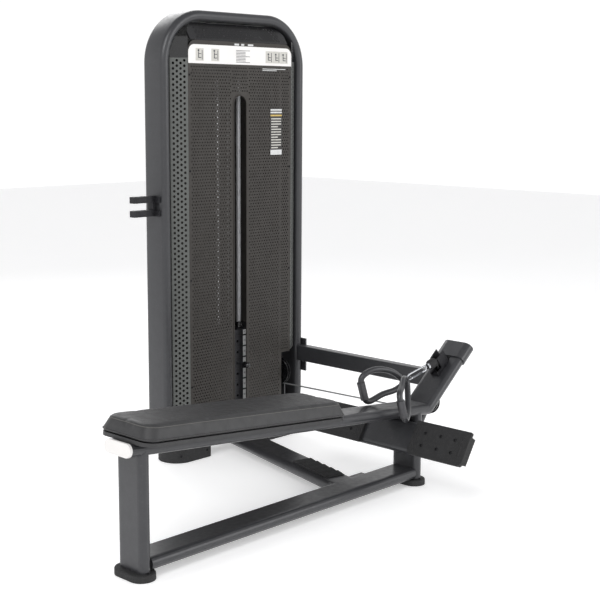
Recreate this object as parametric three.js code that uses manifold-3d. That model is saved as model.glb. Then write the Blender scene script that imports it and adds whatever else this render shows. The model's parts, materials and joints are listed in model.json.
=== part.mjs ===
// A seated long-pull (low row) station: a sloped bench with a cable mast at its front end, joined by a floor
// member and a link beam to a shrouded weight-stack tower.
// Millimetres, +Z up, +X along the bench from its rear to the mast, +Y from the bench to the tower.
// The origin is the centre of the footprint, on the floor.
import * as THREE from "three";
import { mergeVertices } from "three/addons/utils/BufferGeometryUtils.js";
import Module from "manifold-3d";

const wasm = await Module();
wasm.setup();

// ---- driving dimensions ----
const GAP = 0.3; // clearance where two pieces touch
const TUBE_W = 120; // flat-oval frame tube, wide side
const TUBE_T = 40; // flat-oval frame tube, thin side
const TUBE_SIDES = 5; // facets on each round edge of a frame tube
const FOOT_T = 22;
const POST_FRONT_X = 1295;
const RAIL_Z = 43;
const BEAM_TOP_Z = 419.6; // beam's top face over the rear post
const BEAM_SLOPE = 0.092; // radians, nose down towards the mast
const BEAM_REAR_X = -48;
const MAST_ANGLE = 0.69; // radians above horizontal
const BEND_X = 1354; // where the beam's top face turns up into the mast
const MAST_LENGTH = 293;
const SEAT_REAR = -50; // seat extent along the beam
const SEAT_FRONT = 836;
const SEAT_W = 256;
const SEAT_BOARD_T = 12;
const SEAT_PAD_T = 53;
const FOOT_BAR_X = 1200; // centre of the leaning foot bar
const FOOT_BAR_Z = 203;
const FOOT_BAR_LEAN = 0.57; // radians from vertical
const FOOT_BAR_HALF = 338;
const FOOT_PAD_INNER = 112; // the rubber pads start this far from the middle
const TOWER_Y = 837; // tower mid plane
const LEG_X = [805, 1527.5];
const TOWER_TOP = 1742;
const RING_FLOOR_Z = 50; // axis of the ring's floor run
const RING_TOP_R = 180; // axis radius of the ring's top corners
const RING_FLOOR_R = 140;
const COVER_X = [889, 1443];
const COVER_TOP = 1629;
const COVER_FLOOR = 74;
const COVER_DEPTH = 82; // cover's front face to the tower's mid plane
const SHEET_T = 2.5;
const STRIP_TOP = 1562;
const SLOT_X = 1157;
const SLOT_W = 70;
const SLOT_TOP = 1426;
const STACK_X = 1166;
const PLATE_SIZE = [300, 110, 44.7];
const PLATE_COUNT = 8;
const LIFTED_PLATES = 3; // plates above the selector pin
const STACK_FLOOR = 105;
const ROD_SPACING = 118;
const ROD_R = 9.5;
const HEAD_T = 24.7;
const CABLE_R = 3;
const CABLE_SIDES = 8;
const TOP_PULLEY_Z = 1590;
const TOWER_PULLEY_R = 50; // cable radius on the tower pulleys
const LOW_RUN_Z = 232; // floor-level cable run
const DROP_X = 1410; // where the cable drops inside the tower
const MAST_PULLEY = [1498, 417];
const MAST_PULLEY_R = 30;
const MAST_LOW_PULLEY_R = 35;
const RUN_END_X = 1462; // the floor-level run heads for this x at the bench

// ---- materials ----
const paint = (color, roughness, metalness) =>
  new THREE.MeshStandardMaterial({ color, roughness, metalness });
const framePaint = () => paint(0x55585f, 0.4, 0.3);
const coverPaint = () => paint(0x46423e, 0.6, 0.2);
const stripPaint = () => paint(0x787a76, 0.5, 0.3);
const blackPlastic = () => paint(0x141416, 0.3, 0);
const rubber = () => paint(0x2b2b2c, 0.8, 0);
const steel = () => paint(0xb8babd, 0.2, 1);
const iron = () => paint(0x2e2e30, 0.6, 0.6);
const vinyl = () => paint(0x4b4b4e, 0.55, 0);
const whitePlastic = () => paint(0xebebf0, 0.4, 0);

// ---- solids ----
function toSolid(geometry) {
  const bare = geometry.index ? geometry.toNonIndexed() : geometry.clone();
  bare.deleteAttribute("normal");
  bare.deleteAttribute("uv");
  const merged = mergeVertices(bare, 1e-3);
  const vertProperties = new Float32Array(merged.attributes.position.array);
  const triVerts = new Uint32Array(merged.index.array);
  return new wasm.Manifold(new wasm.Mesh({ numProp: 3, vertProperties, triVerts }));
}

function toGeometry(solid) {
  const mesh = solid.getMesh();
  const geometry = new THREE.BufferGeometry();
  geometry.setAttribute("position", new THREE.BufferAttribute(mesh.vertProperties, 3));
  geometry.setIndex(new THREE.BufferAttribute(mesh.triVerts, 1));
  geometry.computeVertexNormals();
  return geometry;
}

const cut = (body, ...tools) => toGeometry(tools.reduce((a, t) => a.subtract(toSolid(t)), toSolid(body)));
const join = (first, ...rest) => toGeometry(rest.reduce((a, b) => a.add(toSolid(b)), toSolid(first)));

// A sheet cut by the ring can leave small offcuts beside the corners; only the sheet itself is kept.
function withoutOffcuts(geometry) {
  const pieces = toSolid(geometry).decompose();
  return toGeometry(pieces.sort((a, b) => b.volume() - a.volume())[0]);
}

// A large block on the side of a plane that its normal points to; it trims a piece to a mitre.
function halfSpace(point, normal) {
  const side = 4000;
  const block = new THREE.BoxGeometry(side, side, side).translate(0, 0, side / 2);
  const unit = normal.clone().normalize();
  const turn = new THREE.Quaternion().setFromUnitVectors(new THREE.Vector3(0, 0, 1), unit);
  return block.applyQuaternion(turn).translate(point.x, point.y, point.z);
}

const box = (x, y, z) =>
  new THREE.BoxGeometry(x[1] - x[0], y[1] - y[0], z[1] - z[0]).translate(
    (x[0] + x[1]) / 2,
    (y[0] + y[1]) / 2,
    (z[0] + z[1]) / 2,
  );

// A cylinder between two points.
function rod(a, b, radius, sides = 16) {
  const from = new THREE.Vector3(...a);
  const along = new THREE.Vector3(...b).sub(from);
  const unit = along.clone().normalize();
  const turn = new THREE.Quaternion().setFromUnitVectors(new THREE.Vector3(0, 1, 0), unit);
  const middle = from.addScaledVector(along, 0.5);
  return new THREE.CylinderGeometry(radius, radius, along.length(), sides)
    .applyQuaternion(turn)
    .translate(middle.x, middle.y, middle.z);
}

// A flat-oval outline: wide along x, thin along y, with half-round ends.
function ovalShape(width, thickness) {
  const r = thickness / 2;
  const straight = width / 2 - r;
  const shape = new THREE.Shape();
  shape.absarc(straight, 0, r, -Math.PI / 2, Math.PI / 2);
  shape.absarc(-straight, 0, r, Math.PI / 2, (3 * Math.PI) / 2);
  return shape;
}

function roundedRect(x, y, radii) {
  const [a, b, c, d] = radii; // corners in turn from (low x, low y), anticlockwise
  const shape = new THREE.Shape();
  shape.moveTo(x[0] + a, y[0]);
  shape.lineTo(x[1] - b, y[0]);
  if (b) shape.absarc(x[1] - b, y[0] + b, b, -Math.PI / 2, 0);
  shape.lineTo(x[1], y[1] - c);
  if (c) shape.absarc(x[1] - c, y[1] - c, c, 0, Math.PI / 2);
  shape.lineTo(x[0] + d, y[1]);
  if (d) shape.absarc(x[0] + d, y[1] - d, d, Math.PI / 2, Math.PI);
  shape.lineTo(x[0], y[0] + a);
  if (a) shape.absarc(x[0] + a, y[0] + a, a, Math.PI, (3 * Math.PI) / 2);
  return shape;
}

const extrude = (shape, depth, curveSegments = TUBE_SIDES) =>
  new THREE.ExtrudeGeometry(shape, { depth, curveSegments, bevelEnabled: false });

// A frame tube that stands up, wide across the bench, from z = 0 to its length.
const upright = (length, extra = 0) =>
  extrude(ovalShape(TUBE_W + 2 * extra, TUBE_T + 2 * extra), length).rotateZ(Math.PI / 2);

// A frame tube that lies flat along +X from x = 0.
const level = (length, extra = 0) => upright(length, extra).rotateY(Math.PI / 2);

// Turns a shape drawn in X and Z into a sheet whose front face is at y and which is thickness deep.
const standing = (shape, y, thickness) =>
  extrude(shape, thickness)
    .rotateX(Math.PI / 2)
    .translate(0, y + thickness, 0);

// Joins rings of points into one closed skin; a loop joins its last ring to its first.
function skin(rings, closed) {
  const n = rings[0].length;
  const position = rings.flat().flatMap((p) => [p.x, p.y, p.z]);
  const index = [];
  const spans = closed ? rings.length : rings.length - 1;
  for (let i = 0; i < spans; i++) {
    for (let k = 0; k < n; k++) {
      const a = i * n + k;
      const b = i * n + ((k + 1) % n);
      const c = ((i + 1) % rings.length) * n + k;
      const d = ((i + 1) % rings.length) * n + ((k + 1) % n);
      index.push(a, b, d, a, d, c);
    }
  }
  if (!closed) {
    const last = (rings.length - 1) * n;
    for (let k = 1; k < n - 1; k++) {
      index.push(0, k + 1, k);
      index.push(last, last + k, last + k + 1);
    }
  }
  const geometry = new THREE.BufferGeometry();
  geometry.setAttribute("position", new THREE.Float32BufferAttribute(position, 3));
  geometry.setIndex(index);
  geometry.computeVertexNormals();
  return geometry;
}

// Sweeps an outline along points in a plane; u is the plane's normal and takes the outline's x.
function sweepPlanar(outline, points, u, closed) {
  const rings = points.map((p, i) => {
    const before = points[closed ? (i + points.length - 1) % points.length : Math.max(i - 1, 0)];
    const after = points[closed ? (i + 1) % points.length : Math.min(i + 1, points.length - 1)];
    const into = p.clone().sub(before).normalize();
    const out = after.clone().sub(p).normalize();
    const tangent = into.add(out).normalize();
    const v = new THREE.Vector3().crossVectors(tangent, u);
    return outline.map((q) => p.clone().addScaledVector(u, q.x).addScaledVector(v, q.y));
  });
  return skin(rings, closed);
}

const circleOutline = (radius, sides) =>
  Array.from({ length: sides }, (_, i) => {
    const a = (2 * Math.PI * i) / sides;
    return new THREE.Vector2(radius * Math.cos(a), radius * Math.sin(a));
  });

const DOWN = new THREE.Vector3(0, 0, -1);

// ---- scene graph ----
const machine = new THREE.Group();

function add(name, geometry, material, parent = machine) {
  const mesh = new THREE.Mesh(geometry, material);
  mesh.name = name;
  parent.add(mesh);
  return mesh;
}

// ---- bench frame ----
const beamDir = new THREE.Vector3(Math.cos(BEAM_SLOPE), 0, -Math.sin(BEAM_SLOPE));
const mastDir = new THREE.Vector3(Math.cos(MAST_ANGLE), 0, Math.sin(MAST_ANGLE));
const beamTopAt = (x) => BEAM_TOP_Z - Math.tan(BEAM_SLOPE) * x;
const bend = new THREE.Vector3(BEND_X, 0, beamTopAt(BEND_X));
const mitre = beamDir.clone().add(mastDir).normalize();
const beamLength = (BEND_X - BEAM_REAR_X) / Math.cos(BEAM_SLOPE) + TUBE_W;

function beamSolid(extra) {
  return level(beamLength, extra)
    .translate(BEAM_REAR_X / Math.cos(BEAM_SLOPE), 0, -TUBE_T / 2)
    .rotateY(BEAM_SLOPE)
    .translate(0, 0, BEAM_TOP_Z);
}

function mastSolid(extra) {
  return level(MAST_LENGTH + TUBE_W, extra)
    .translate(-TUBE_W, 0, -TUBE_T / 2)
    .rotateY(-MAST_ANGLE)
    .translate(bend.x, 0, bend.z);
}

// The mast with the slot that the top pulley and the cable pass through.
function slottedMast(extra) {
  const slot = box([MAST_PULLEY[0] - 38, MAST_PULLEY[0] + 42], [-13 + extra, 13 - extra], [250, 520]);
  return cut(mastSolid(extra), slot);
}

function benchPosts() {
  const clearBeam = beamSolid(GAP);
  const posts = [
    ["rear", 0],
    ["front", POST_FRONT_X],
  ];
  posts.forEach(([end, x]) => {
    const trim = halfSpace(
      new THREE.Vector3(x, 0, beamTopAt(x) - TUBE_T / 2),
      new THREE.Vector3(-beamDir.z, 0, beamDir.x),
    );
    const post = upright(beamTopAt(x) - FOOT_T - GAP).translate(x, 0, FOOT_T + GAP);
    add(`${end}_post`, cut(post, trim, clearBeam), framePaint());
    const plan = ovalShape(150, 84);
    const foot = new THREE.ExtrudeGeometry(plan, {
      depth: FOOT_T - 5,
      curveSegments: 8,
      bevelThickness: 5,
      bevelSize: 5,
      bevelOffset: -5,
      bevelSegments: 2,
    });
    // The lower bevel is cut away so that the foot stands on a flat face.
    const flat = cut(foot.rotateZ(Math.PI / 2).translate(x, 0, 0), halfSpace(new THREE.Vector3(), DOWN));
    add(`${end}_foot`, flat, rubber());
  });
  const rail = level(POST_FRONT_X - TUBE_T - 2 * GAP).translate(TUBE_T / 2 + GAP, 0, RAIL_Z);
  add("floor_rail", rail, framePaint());
}



function benchBeam() {
  const half = GAP / 2;
  const beyond = halfSpace(bend.clone().addScaledVector(mitre, -half), mitre);
  const before = halfSpace(bend.clone().addScaledVector(mitre, half), mitre.clone().negate());
  add("bench_beam", cut(beamSolid(0), beyond), framePaint());
  // The mast is slotted where the cable passes down through it.
  add("cable_mast", cut(slottedMast(0), before), framePaint());
  const cap = extrude(ovalShape(TUBE_W + 2, TUBE_T + 2), 9, 10)
    .rotateZ(Math.PI / 2)
    .rotateY(Math.PI / 2)
    .translate(BEAM_REAR_X / Math.cos(BEAM_SLOPE) - 9 - GAP, 0, -TUBE_T / 2)
    .rotateY(BEAM_SLOPE)
    .translate(0, 0, BEAM_TOP_Z);
  add("beam_end_cap", cap, whitePlastic());
  // The head cap sleeves over the mast's top end.
  const sleeve = level(72, 5).translate(MAST_LENGTH - 58, 0, -TUBE_T / 2);
  const inside = level(60 + GAP, GAP).translate(MAST_LENGTH - 60, 0, -TUBE_T / 2);
  const head = cut(sleeve, inside).rotateY(-MAST_ANGLE).translate(bend.x, 0, bend.z);
  add("mast_head_cap", head, framePaint());
}

function seat() {
  const bench = new THREE.Group();
  bench.position.z = BEAM_TOP_Z;
  bench.rotation.y = BEAM_SLOPE;
  machine.add(bench);
  const inset = 10;
  const plan = (margin, r) =>
    roundedRect(
      [SEAT_REAR + margin, SEAT_FRONT - margin],
      [-SEAT_W / 2 + margin, SEAT_W / 2 - margin],
      [r, r, r, r],
    );
  add("seat_board", extrude(plan(inset, 40), SEAT_BOARD_T).translate(0, 0, GAP), iron(), bench);
  // The pad is cast with drafted sides: each level is drawn in towards the top.
  const bevel = 9;
  const pad = new THREE.ExtrudeGeometry(plan(0, 46), {
    depth: SEAT_PAD_T - 2 * bevel,
    curveSegments: 6,
    bevelThickness: bevel,
    bevelSize: bevel,
    bevelOffset: -bevel,
    bevelSegments: 2,
  }).translate(0, 0, bevel);
  const middle = (SEAT_REAR + SEAT_FRONT) / 2;
  const draft = 22;
  const position = pad.attributes.position;
  for (let i = 0; i < position.count; i++) {
    const rise = position.getZ(i) / SEAT_PAD_T;
    const alongX = 1 - (2 * draft * rise) / (SEAT_FRONT - SEAT_REAR);
    const acrossY = 1 - (2 * draft * rise) / SEAT_W;
    position.setX(i, middle + (position.getX(i) - middle) * alongX);
    position.setY(i, position.getY(i) * acrossY);
  }
  add("seat_pad", pad.translate(0, 0, SEAT_BOARD_T + 2 * GAP), vinyl(), bench);
}

// ---- foot bar ----
function footBar() {
  const bar = new THREE.Group();
  bar.position.set(FOOT_BAR_X, 0, FOOT_BAR_Z);
  bar.rotation.y = FOOT_BAR_LEAN;
  machine.add(bar);
  const core = extrude(ovalShape(TUBE_W, 30), 2 * (FOOT_BAR_HALF - 8)).rotateX(Math.PI / 2);
  // The oval is wide along x as drawn; it is turned to stand up on the bar's own z.
  core.rotateY(Math.PI / 2).translate(0, FOOT_BAR_HALF - 8, 0);
  add("foot_bar", core, framePaint(), bar);
  const padT = 12;
  const capT = 13;
  [
    ["left", 1],
    ["right", -1],
  ].forEach(([side, sign]) => {
    const face = roundedRect([-64, 64], [FOOT_PAD_INNER, FOOT_BAR_HALF + capT], [4, 20, 20, 4]);
    // Drawn as height and distance from the middle, then stood up on the bar's front face.
    const pad = extrude(face, padT).rotateY(-Math.PI / 2);
    if (sign < 0) pad.applyMatrix4(new THREE.Matrix4().makeRotationX(Math.PI));
    pad.translate(-15 - GAP, 0, 0);
    const capX = [-15 - GAP - 1, 10];
    const capEnds = [FOOT_BAR_HALF - 8 + GAP, FOOT_BAR_HALF + capT - 3];
    const capY = capEnds.map((v) => v * sign).sort((a, b) => a - b);
    add(`foot_pad_${side}`, join(pad, box(capX, capY, [-50, 50])), rubber(), bar);
  });
}

function footBarBracket() {
  const back = new THREE.Vector3(
    FOOT_BAR_X + (15 + GAP) * Math.cos(FOOT_BAR_LEAN),
    0,
    FOOT_BAR_Z - (15 + GAP) * Math.sin(FOOT_BAR_LEAN),
  );
  const towardsUser = new THREE.Vector3(-Math.cos(FOOT_BAR_LEAN), 0, Math.sin(FOOT_BAR_LEAN));
  const arm = box([FOOT_BAR_X - 40, POST_FRONT_X - TUBE_T / 2 - GAP], [-35, 35], [175, 235]);
  add("foot_bar_bracket", cut(arm, halfSpace(back, towardsUser)), framePaint());
  const brace = rod([POST_FRONT_X, 0, 118], [POST_FRONT_X + 150, 0, 330], 16, 12);
  const onPost = new THREE.Vector3(POST_FRONT_X + TUBE_T / 2 + GAP, 0, 0);
  const postFace = halfSpace(onPost, new THREE.Vector3(-1, 0, 0));
  const mastBack = mastSolid(GAP);
  const up = new THREE.Vector3(-mastDir.z, 0, mastDir.x);
  const middle = halfSpace(bend.clone().addScaledVector(up, -TUBE_T / 2), up);
  add("mast_brace", cut(brace, postFace, mastBack, middle), framePaint());
}

// ---- tower ----
// The ring's axis: a rectangle with round corners, in the tower's mid plane.
function ringAxis() {
  const points = [];
  const top = TOWER_TOP - TUBE_T / 2;
  const corners = [
    [LEG_X[1] - RING_FLOOR_R, RING_FLOOR_Z + RING_FLOOR_R, RING_FLOOR_R, -Math.PI / 2],
    [LEG_X[1] - RING_TOP_R, top - RING_TOP_R, RING_TOP_R, 0],
    [LEG_X[0] + RING_TOP_R, top - RING_TOP_R, RING_TOP_R, Math.PI / 2],
    [LEG_X[0] + RING_FLOOR_R, RING_FLOOR_Z + RING_FLOOR_R, RING_FLOOR_R, Math.PI],
  ];
  const steps = 6;
  corners.forEach(([x, z, r, start]) => {
    for (let i = 0; i <= steps; i++) {
      const a = start + (i * Math.PI) / 2 / steps;
      points.push(new THREE.Vector3(x + r * Math.cos(a), TOWER_Y, z + r * Math.sin(a)));
    }
  });
  return points;
}

const ringSolid = (extra) =>
  sweepPlanar(
    ovalShape(TUBE_W + 2 * extra, TUBE_T + 2 * extra).getPoints(TUBE_SIDES).slice(0, -1),
    ringAxis(),
    new THREE.Vector3(0, 1, 0),
    true,
  );

function towerFrame() {
  add("tower_ring", ringSolid(0), framePaint());
  const boots = [
    ["left", [LEG_X[0] + 8, LEG_X[0] + 205], [72, 20, 20, 72]],
    ["right", [LEG_X[1] - 205, LEG_X[1] - 8], [20, 72, 72, 20]],
  ];
  boots.forEach(([side, x, radii]) => {
    const plan = roundedRect(x, [TOWER_Y - 75, TOWER_Y + 75], radii);
    add(`tower_boot_${side}`, cut(extrude(plan, 52), ringSolid(GAP)), rubber());
  });
}

// The floor member runs from the rail to the tower at a slight yaw.
function floorMember() {
  const start = new THREE.Vector3(989, 60, RAIL_Z);
  const end = new THREE.Vector3(1173, TOWER_Y - TUBE_W / 2, RAIL_Z);
  const along = end.clone().sub(start);
  const yaw = Math.atan2(along.y, along.x);
  const lead = 40;
  const place = (g) => g.rotateZ(yaw).translate(start.x, start.y, RAIL_Z);
  const tube = place(level(along.length() + 2 * lead).translate(-lead, 0, 0));
  const rail = level(POST_FRONT_X, GAP).translate(0, 0, RAIL_Z);
  const flange = box([930, 1110], [TUBE_W / 2 - 12, TUBE_W / 2 + 6], [RAIL_Z - 20, RAIL_Z + 18]);
  add("floor_member", cut(join(tube, flange), rail, ringSolid(GAP)), framePaint());
  // Anti-slip tread: a base strip with raised ribs across the member.
  const tread = new THREE.Shape();
  const ribs = 5;
  const pitch = 46;
  tread.moveTo(0, 0);
  tread.lineTo(ribs * pitch, 0);
  for (let i = ribs; i > 0; i--) {
    tread.lineTo(i * pitch, 3);
    tread.lineTo(i * pitch - 5, 8);
    tread.lineTo((i - 1) * pitch + 12, 5);
    tread.lineTo((i - 1) * pitch + 4, 3);
  }
  tread.lineTo(0, 3);
  const strip = extrude(tread, 78).rotateX(Math.PI / 2).translate(34, 39, TUBE_T / 2 + GAP);
  add("anti_slip_tread", place(strip), rubber());
}

function linkBeam() {
  const x = [LEG_X[1] - 20, LEG_X[1] + 20];
  const z = [314, 380];
  const bar = extrude(roundedRect(x, z, [6, 6, 6, 6]), TOWER_Y - 76, 3)
    .rotateX(Math.PI / 2)
    .translate(0, TOWER_Y - 20, 0);
  const strap = box([x[1] - 1, x[1] + 6], [TOWER_Y - 75, TOWER_Y - 8], [264, 404]);
  const tab = box([x[0] - 4, x[1]], [52, 60], [z[0] + 8, z[1] - 4]);
  const clearLeg = box([x[0] - GAP, x[1] + GAP], [TOWER_Y - 61, TOWER_Y + 61], [z[0] - 60, z[1] + 60]);
  const heads = [275, 392].map((h) => rod([x[1] + 5, TOWER_Y - 30, h], [x[1] + 15, TOWER_Y - 30, h], 9, 6));
  const cleared = cut(join(bar, strap, tab), clearLeg, mastSolid(GAP));
  add("link_beam", join(cleared, ...heads), framePaint());
}

function accessoryHook() {
  const x = LEG_X[0] - TUBE_T / 2 - GAP;
  const y = [TOWER_Y - 14, TOWER_Y + 14];
  const web = box([x - 18, x], y, [972, 1048]);
  const prong = (z) => box([x - 106, x - 17], y, [z, z + 24]);
  const clamp = (z) => box([x - 9, x], [TOWER_Y - 38, TOWER_Y + 14], [z, z + 22]);
  const levels = [972, 1024];
  add("accessory_hook", join(web, ...levels.map(prong), ...levels.map(clamp)), iron());
}

// ---- shroud ----
function shroud() {
  const front = TOWER_Y - COVER_DEPTH;
  const clearRing = ringSolid(GAP);
  const cover = roundedRect(COVER_X, [COVER_FLOOR, COVER_TOP], [0, 0, 38, 38]);
  const half = SLOT_W / 2;
  const slot = roundedRect([SLOT_X - half, SLOT_X + half], [110, SLOT_TOP], [8, 8, half, half]);
  const passage = box([1392, COVER_X[1] + 1], [front - 9, front + 9], [COVER_FLOOR - 1, 368]);
  const slotTool = standing(slot, front - 9, 18);
  add("front_cover", cut(standing(cover, front, SHEET_T), slotTool, passage), coverPaint());
  const placardShape = roundedRect([COVER_X[0] + 1, COVER_X[1] - 1], [1543, 1613], [0, 0, 30, 30]);
  add("placard", standing(placardShape, front - 1.8, 1.5), whitePlastic());
  // Side strips run back from the cover's edges to the legs.
  const reach = 57;
  const back = 38;
  const sides = [
    ["left", COVER_X[0] - 0.6, -1],
    ["right", COVER_X[1] + 0.6, 1],
  ];
  sides.forEach(([side, x, sign]) => {
    const panel = (z) => {
      const plan = new THREE.Shape();
      plan.moveTo(x, front);
      plan.lineTo(x + sign * reach, front + back);
      plan.lineTo(x + sign * reach, front + back + 3);
      plan.lineTo(x, front + 3);
      return extrude(plan, z[1] - z[0]).translate(0, 0, z[0]);
    };
    const floor = side === "right" ? 374 : COVER_FLOOR;
    add(`side_strip_${side}`, withoutOffcuts(cut(panel([floor, STRIP_TOP]), clearRing)), stripPaint());
    add(`crown_${side}`, cut(panel([STRIP_TOP + GAP, 1640]), clearRing), blackPlastic());
  });
  const rear = TOWER_Y + COVER_DEPTH;
  const shell = new THREE.Shape();
  shell.moveTo(COVER_X[0] - reach, rear - back);
  shell.lineTo(COVER_X[0], rear);
  shell.lineTo(COVER_X[1], rear);
  shell.lineTo(COVER_X[1] + reach, rear - back);
  shell.lineTo(COVER_X[1] + reach, rear - back - 3);
  shell.lineTo(COVER_X[1], rear - 3);
  shell.lineTo(COVER_X[0], rear - 3);
  shell.lineTo(COVER_X[0] - reach, rear - back - 3);
  const rearSheet = extrude(shell, COVER_TOP - COVER_FLOOR).translate(0, 0, COVER_FLOOR);
  add("rear_shell", withoutOffcuts(cut(rearSheet, clearRing)), coverPaint());
  const grille = new THREE.Shape();
  grille.moveTo(front + 4, COVER_TOP + 2);
  grille.lineTo(front + 6.5, COVER_TOP + 1);
  grille.lineTo(front + 48, 1697);
  grille.lineTo(front + 45, 1698);
  const grilleSheet = extrude(grille, 520).rotateX(Math.PI / 2).rotateZ(Math.PI / 2).translate(905, 0, 0);
  add("top_grille", cut(grilleSheet, clearRing), stripPaint());
}

// ---- weight stack ----
function stack() {
  const [w, d, t] = PLATE_SIZE;
  const pitch = t + GAP;
  const halfW = w / 2;
  const halfD = d / 2;
  const plan = () => {
    const shape = roundedRect([-halfW, halfW], [-halfD, halfD], [8, 8, 8, 8]);
    const holes = [
      [-ROD_SPACING / 2, ROD_R + 1.5],
      [0, 13],
      [ROD_SPACING / 2, ROD_R + 1.5],
    ];
    holes.forEach(([x, r]) => {
      const hole = new THREE.Path();
      hole.absarc(x, 0, r, 0, 2 * Math.PI);
      shape.holes.push(hole);
    });
    return shape;
  };
  for (let i = 0; i < PLATE_COUNT; i++) {
    const bottom = STACK_FLOOR + (PLATE_COUNT - 1 - i) * pitch;
    const plate = extrude(plan(), t, 4).translate(STACK_X, TOWER_Y, bottom);
    const mid = bottom + t / 2;
    const pinHole = rod([STACK_X, TOWER_Y - halfD - 5, mid], [STACK_X, TOWER_Y, mid], 6, 8);
    const number = String(i + 1).padStart(2, "0");
    add(`weight_plate_${number}`, cut(plate, pinHole), iron());
  }
  const headZ = STACK_FLOOR + PLATE_COUNT * pitch;
  const pinZ = STACK_FLOOR + (PLATE_COUNT - LIFTED_PLATES) * pitch + t / 2;
  const rodHoles = [-1, 1].map((s) => {
    const x = STACK_X + (s * ROD_SPACING) / 2;
    return rod([x, TOWER_Y, headZ - 5], [x, TOWER_Y, headZ + HEAD_T + 5], ROD_R + 1.5, 12);
  });
  const block = box(
    [STACK_X - halfW, STACK_X + halfW],
    [TOWER_Y - halfD, TOWER_Y + halfD],
    [headZ, headZ + HEAD_T],
  );
  const boss = rod([STACK_X, TOWER_Y, headZ + HEAD_T - 1], [STACK_X, TOWER_Y, headZ + HEAD_T + 26], 15, 12);
  add("head_plate", cut(join(block, boss), ...rodHoles), iron());
  const selector = rod([STACK_X, TOWER_Y, STACK_FLOOR + 4], [STACK_X, TOWER_Y, headZ - GAP], 10.5, 16);
  const socket = rod([STACK_X, TOWER_Y - 20, pinZ], [STACK_X, TOWER_Y + 20, pinZ], 5.6, 12);
  add("selector_rod", cut(selector, socket), steel());
  const shank = rod([STACK_X, 726, pinZ], [STACK_X, TOWER_Y + 9, pinZ], 4.6, 12);
  const knob = rod([STACK_X, 712, pinZ], [STACK_X, 748, pinZ], 13, 16);
  add("selector_pin", join(shank, knob), blackPlastic());
  [
    ["left", -1],
    ["right", 1],
  ].forEach(([side, s]) => {
    const x = STACK_X + (s * ROD_SPACING) / 2;
    add(`guide_rod_${side}`, rod([x, TOWER_Y, 86 + GAP], [x, TOWER_Y, 1500 - GAP], ROD_R, 16), steel());
  });
  const base = box([STACK_X - 165, STACK_X + 165], [TOWER_Y - 45, TOWER_Y + 45], [70 + GAP, 86]);
  const buffers = [-1, 1].map((s) => {
    const x = STACK_X + s * 110;
    return rod([x, TOWER_Y, 85], [x, TOWER_Y, STACK_FLOOR - GAP], 18, 12);
  });
  add("stack_base", join(base, ...buffers), iron());
}

// ---- cable system ----
const headTop = STACK_FLOOR + PLATE_COUNT * (PLATE_SIZE[2] + GAP) + HEAD_T + 26;
const X = new THREE.Vector3(1, 0, 0);
const Y = new THREE.Vector3(0, 1, 0);
const Z = new THREE.Vector3(0, 0, 1);
const back = (v) => v.clone().negate();
const LINE_DROP = 0.29; // the hand end of the line hangs this far below horizontal, in radians
const lineDir = new THREE.Vector3(-Math.cos(LINE_DROP), 0, -Math.sin(LINE_DROP));

// A pulley that turns the cable from direction t1 to t2. The axis is the one about which it turns positively
// as the cable is pulled; the cable meets it at centre + first and leaves it at centre + last.
function turning(t1, t2, r) {
  const axis = new THREE.Vector3().crossVectors(t1, t2).normalize();
  const first = new THREE.Vector3().crossVectors(t1, axis).multiplyScalar(r);
  const last = new THREE.Vector3().crossVectors(t2, axis).multiplyScalar(r);
  return { axis, first, last, r, angle: t1.angleTo(t2) };
}

const above = (x, y, z, pulley) => Object.assign(pulley, { centre: new THREE.Vector3(x, y, z) });

// The floor-level run, the low mast pulley and the rise to the mast's top pulley settle each other, so they
// are found by repeated substitution.
function mastRoute() {
  const top = new THREE.Vector3(MAST_PULLEY[0], 0, MAST_PULLEY[1]);
  const run = new THREE.Vector3(RUN_END_X - DROP_X, -TOWER_Y, 0).normalize();
  let rise = Z.clone();
  let low;
  for (let i = 0; i < 12; i++) {
    low = turning(run, rise, MAST_LOW_PULLEY_R);
    const across = low.last.clone().sub(low.first);
    const end = new THREE.Vector3(DROP_X, TOWER_Y, LOW_RUN_Z);
    end.addScaledVector(run, (-TOWER_Y - across.y) / run.y);
    low.centre = end.sub(low.first);
    const gap = top.clone().sub(low.centre).sub(low.last);
    const lean = Math.asin(MAST_PULLEY_R / gap.length()) + Math.atan2(gap.x, gap.z);
    rise = new THREE.Vector3(Math.sin(lean), 0, Math.cos(lean));
  }
  return { run, rise, low };
}

const { run: runDir, rise: riseDir, low: mastLow } = mastRoute();
const towerLow = turning(back(Z), runDir, TOWER_PULLEY_R);
towerLow.centre = new THREE.Vector3(DROP_X, TOWER_Y, LOW_RUN_Z + TOWER_PULLEY_R);
towerLow.centre.addScaledVector(runDir, TOWER_PULLEY_R);
const pulleys = {
  top_pulley_stack: above(STACK_X + TOWER_PULLEY_R, TOWER_Y, TOP_PULLEY_Z, turning(Z, X, TOWER_PULLEY_R)),
  top_pulley_drop: above(DROP_X - TOWER_PULLEY_R, TOWER_Y, TOP_PULLEY_Z, turning(X, back(Z), TOWER_PULLEY_R)),
  tower_low_pulley: towerLow,
  mast_low_pulley: mastLow,
  mast_top_pulley: above(MAST_PULLEY[0], 0, MAST_PULLEY[1], turning(riseDir, lineDir, MAST_PULLEY_R)),
};

const PULLEY_T = 16;
const AXLE_R = 7;

// A grooved wheel on its own z axis, centred at the origin.
function pulleyGeometry(r) {
  const floor = r - CABLE_R - 0.8;
  const rim = r + 6;
  const h = PULLEY_T / 2;
  const bore = AXLE_R + 0.4;
  const profile = [
    [bore, -h],
    [rim, -h],
    [rim, -h + 2],
    [floor, -3.6],
    [floor, 3.6],
    [rim, h - 2],
    [rim, h],
    [bore, h],
    [bore, -h],
  ];
  const points = profile.map(([x, y]) => new THREE.Vector2(x, y));
  return new THREE.LatheGeometry(points, 20).rotateX(Math.PI / 2);
}

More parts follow.
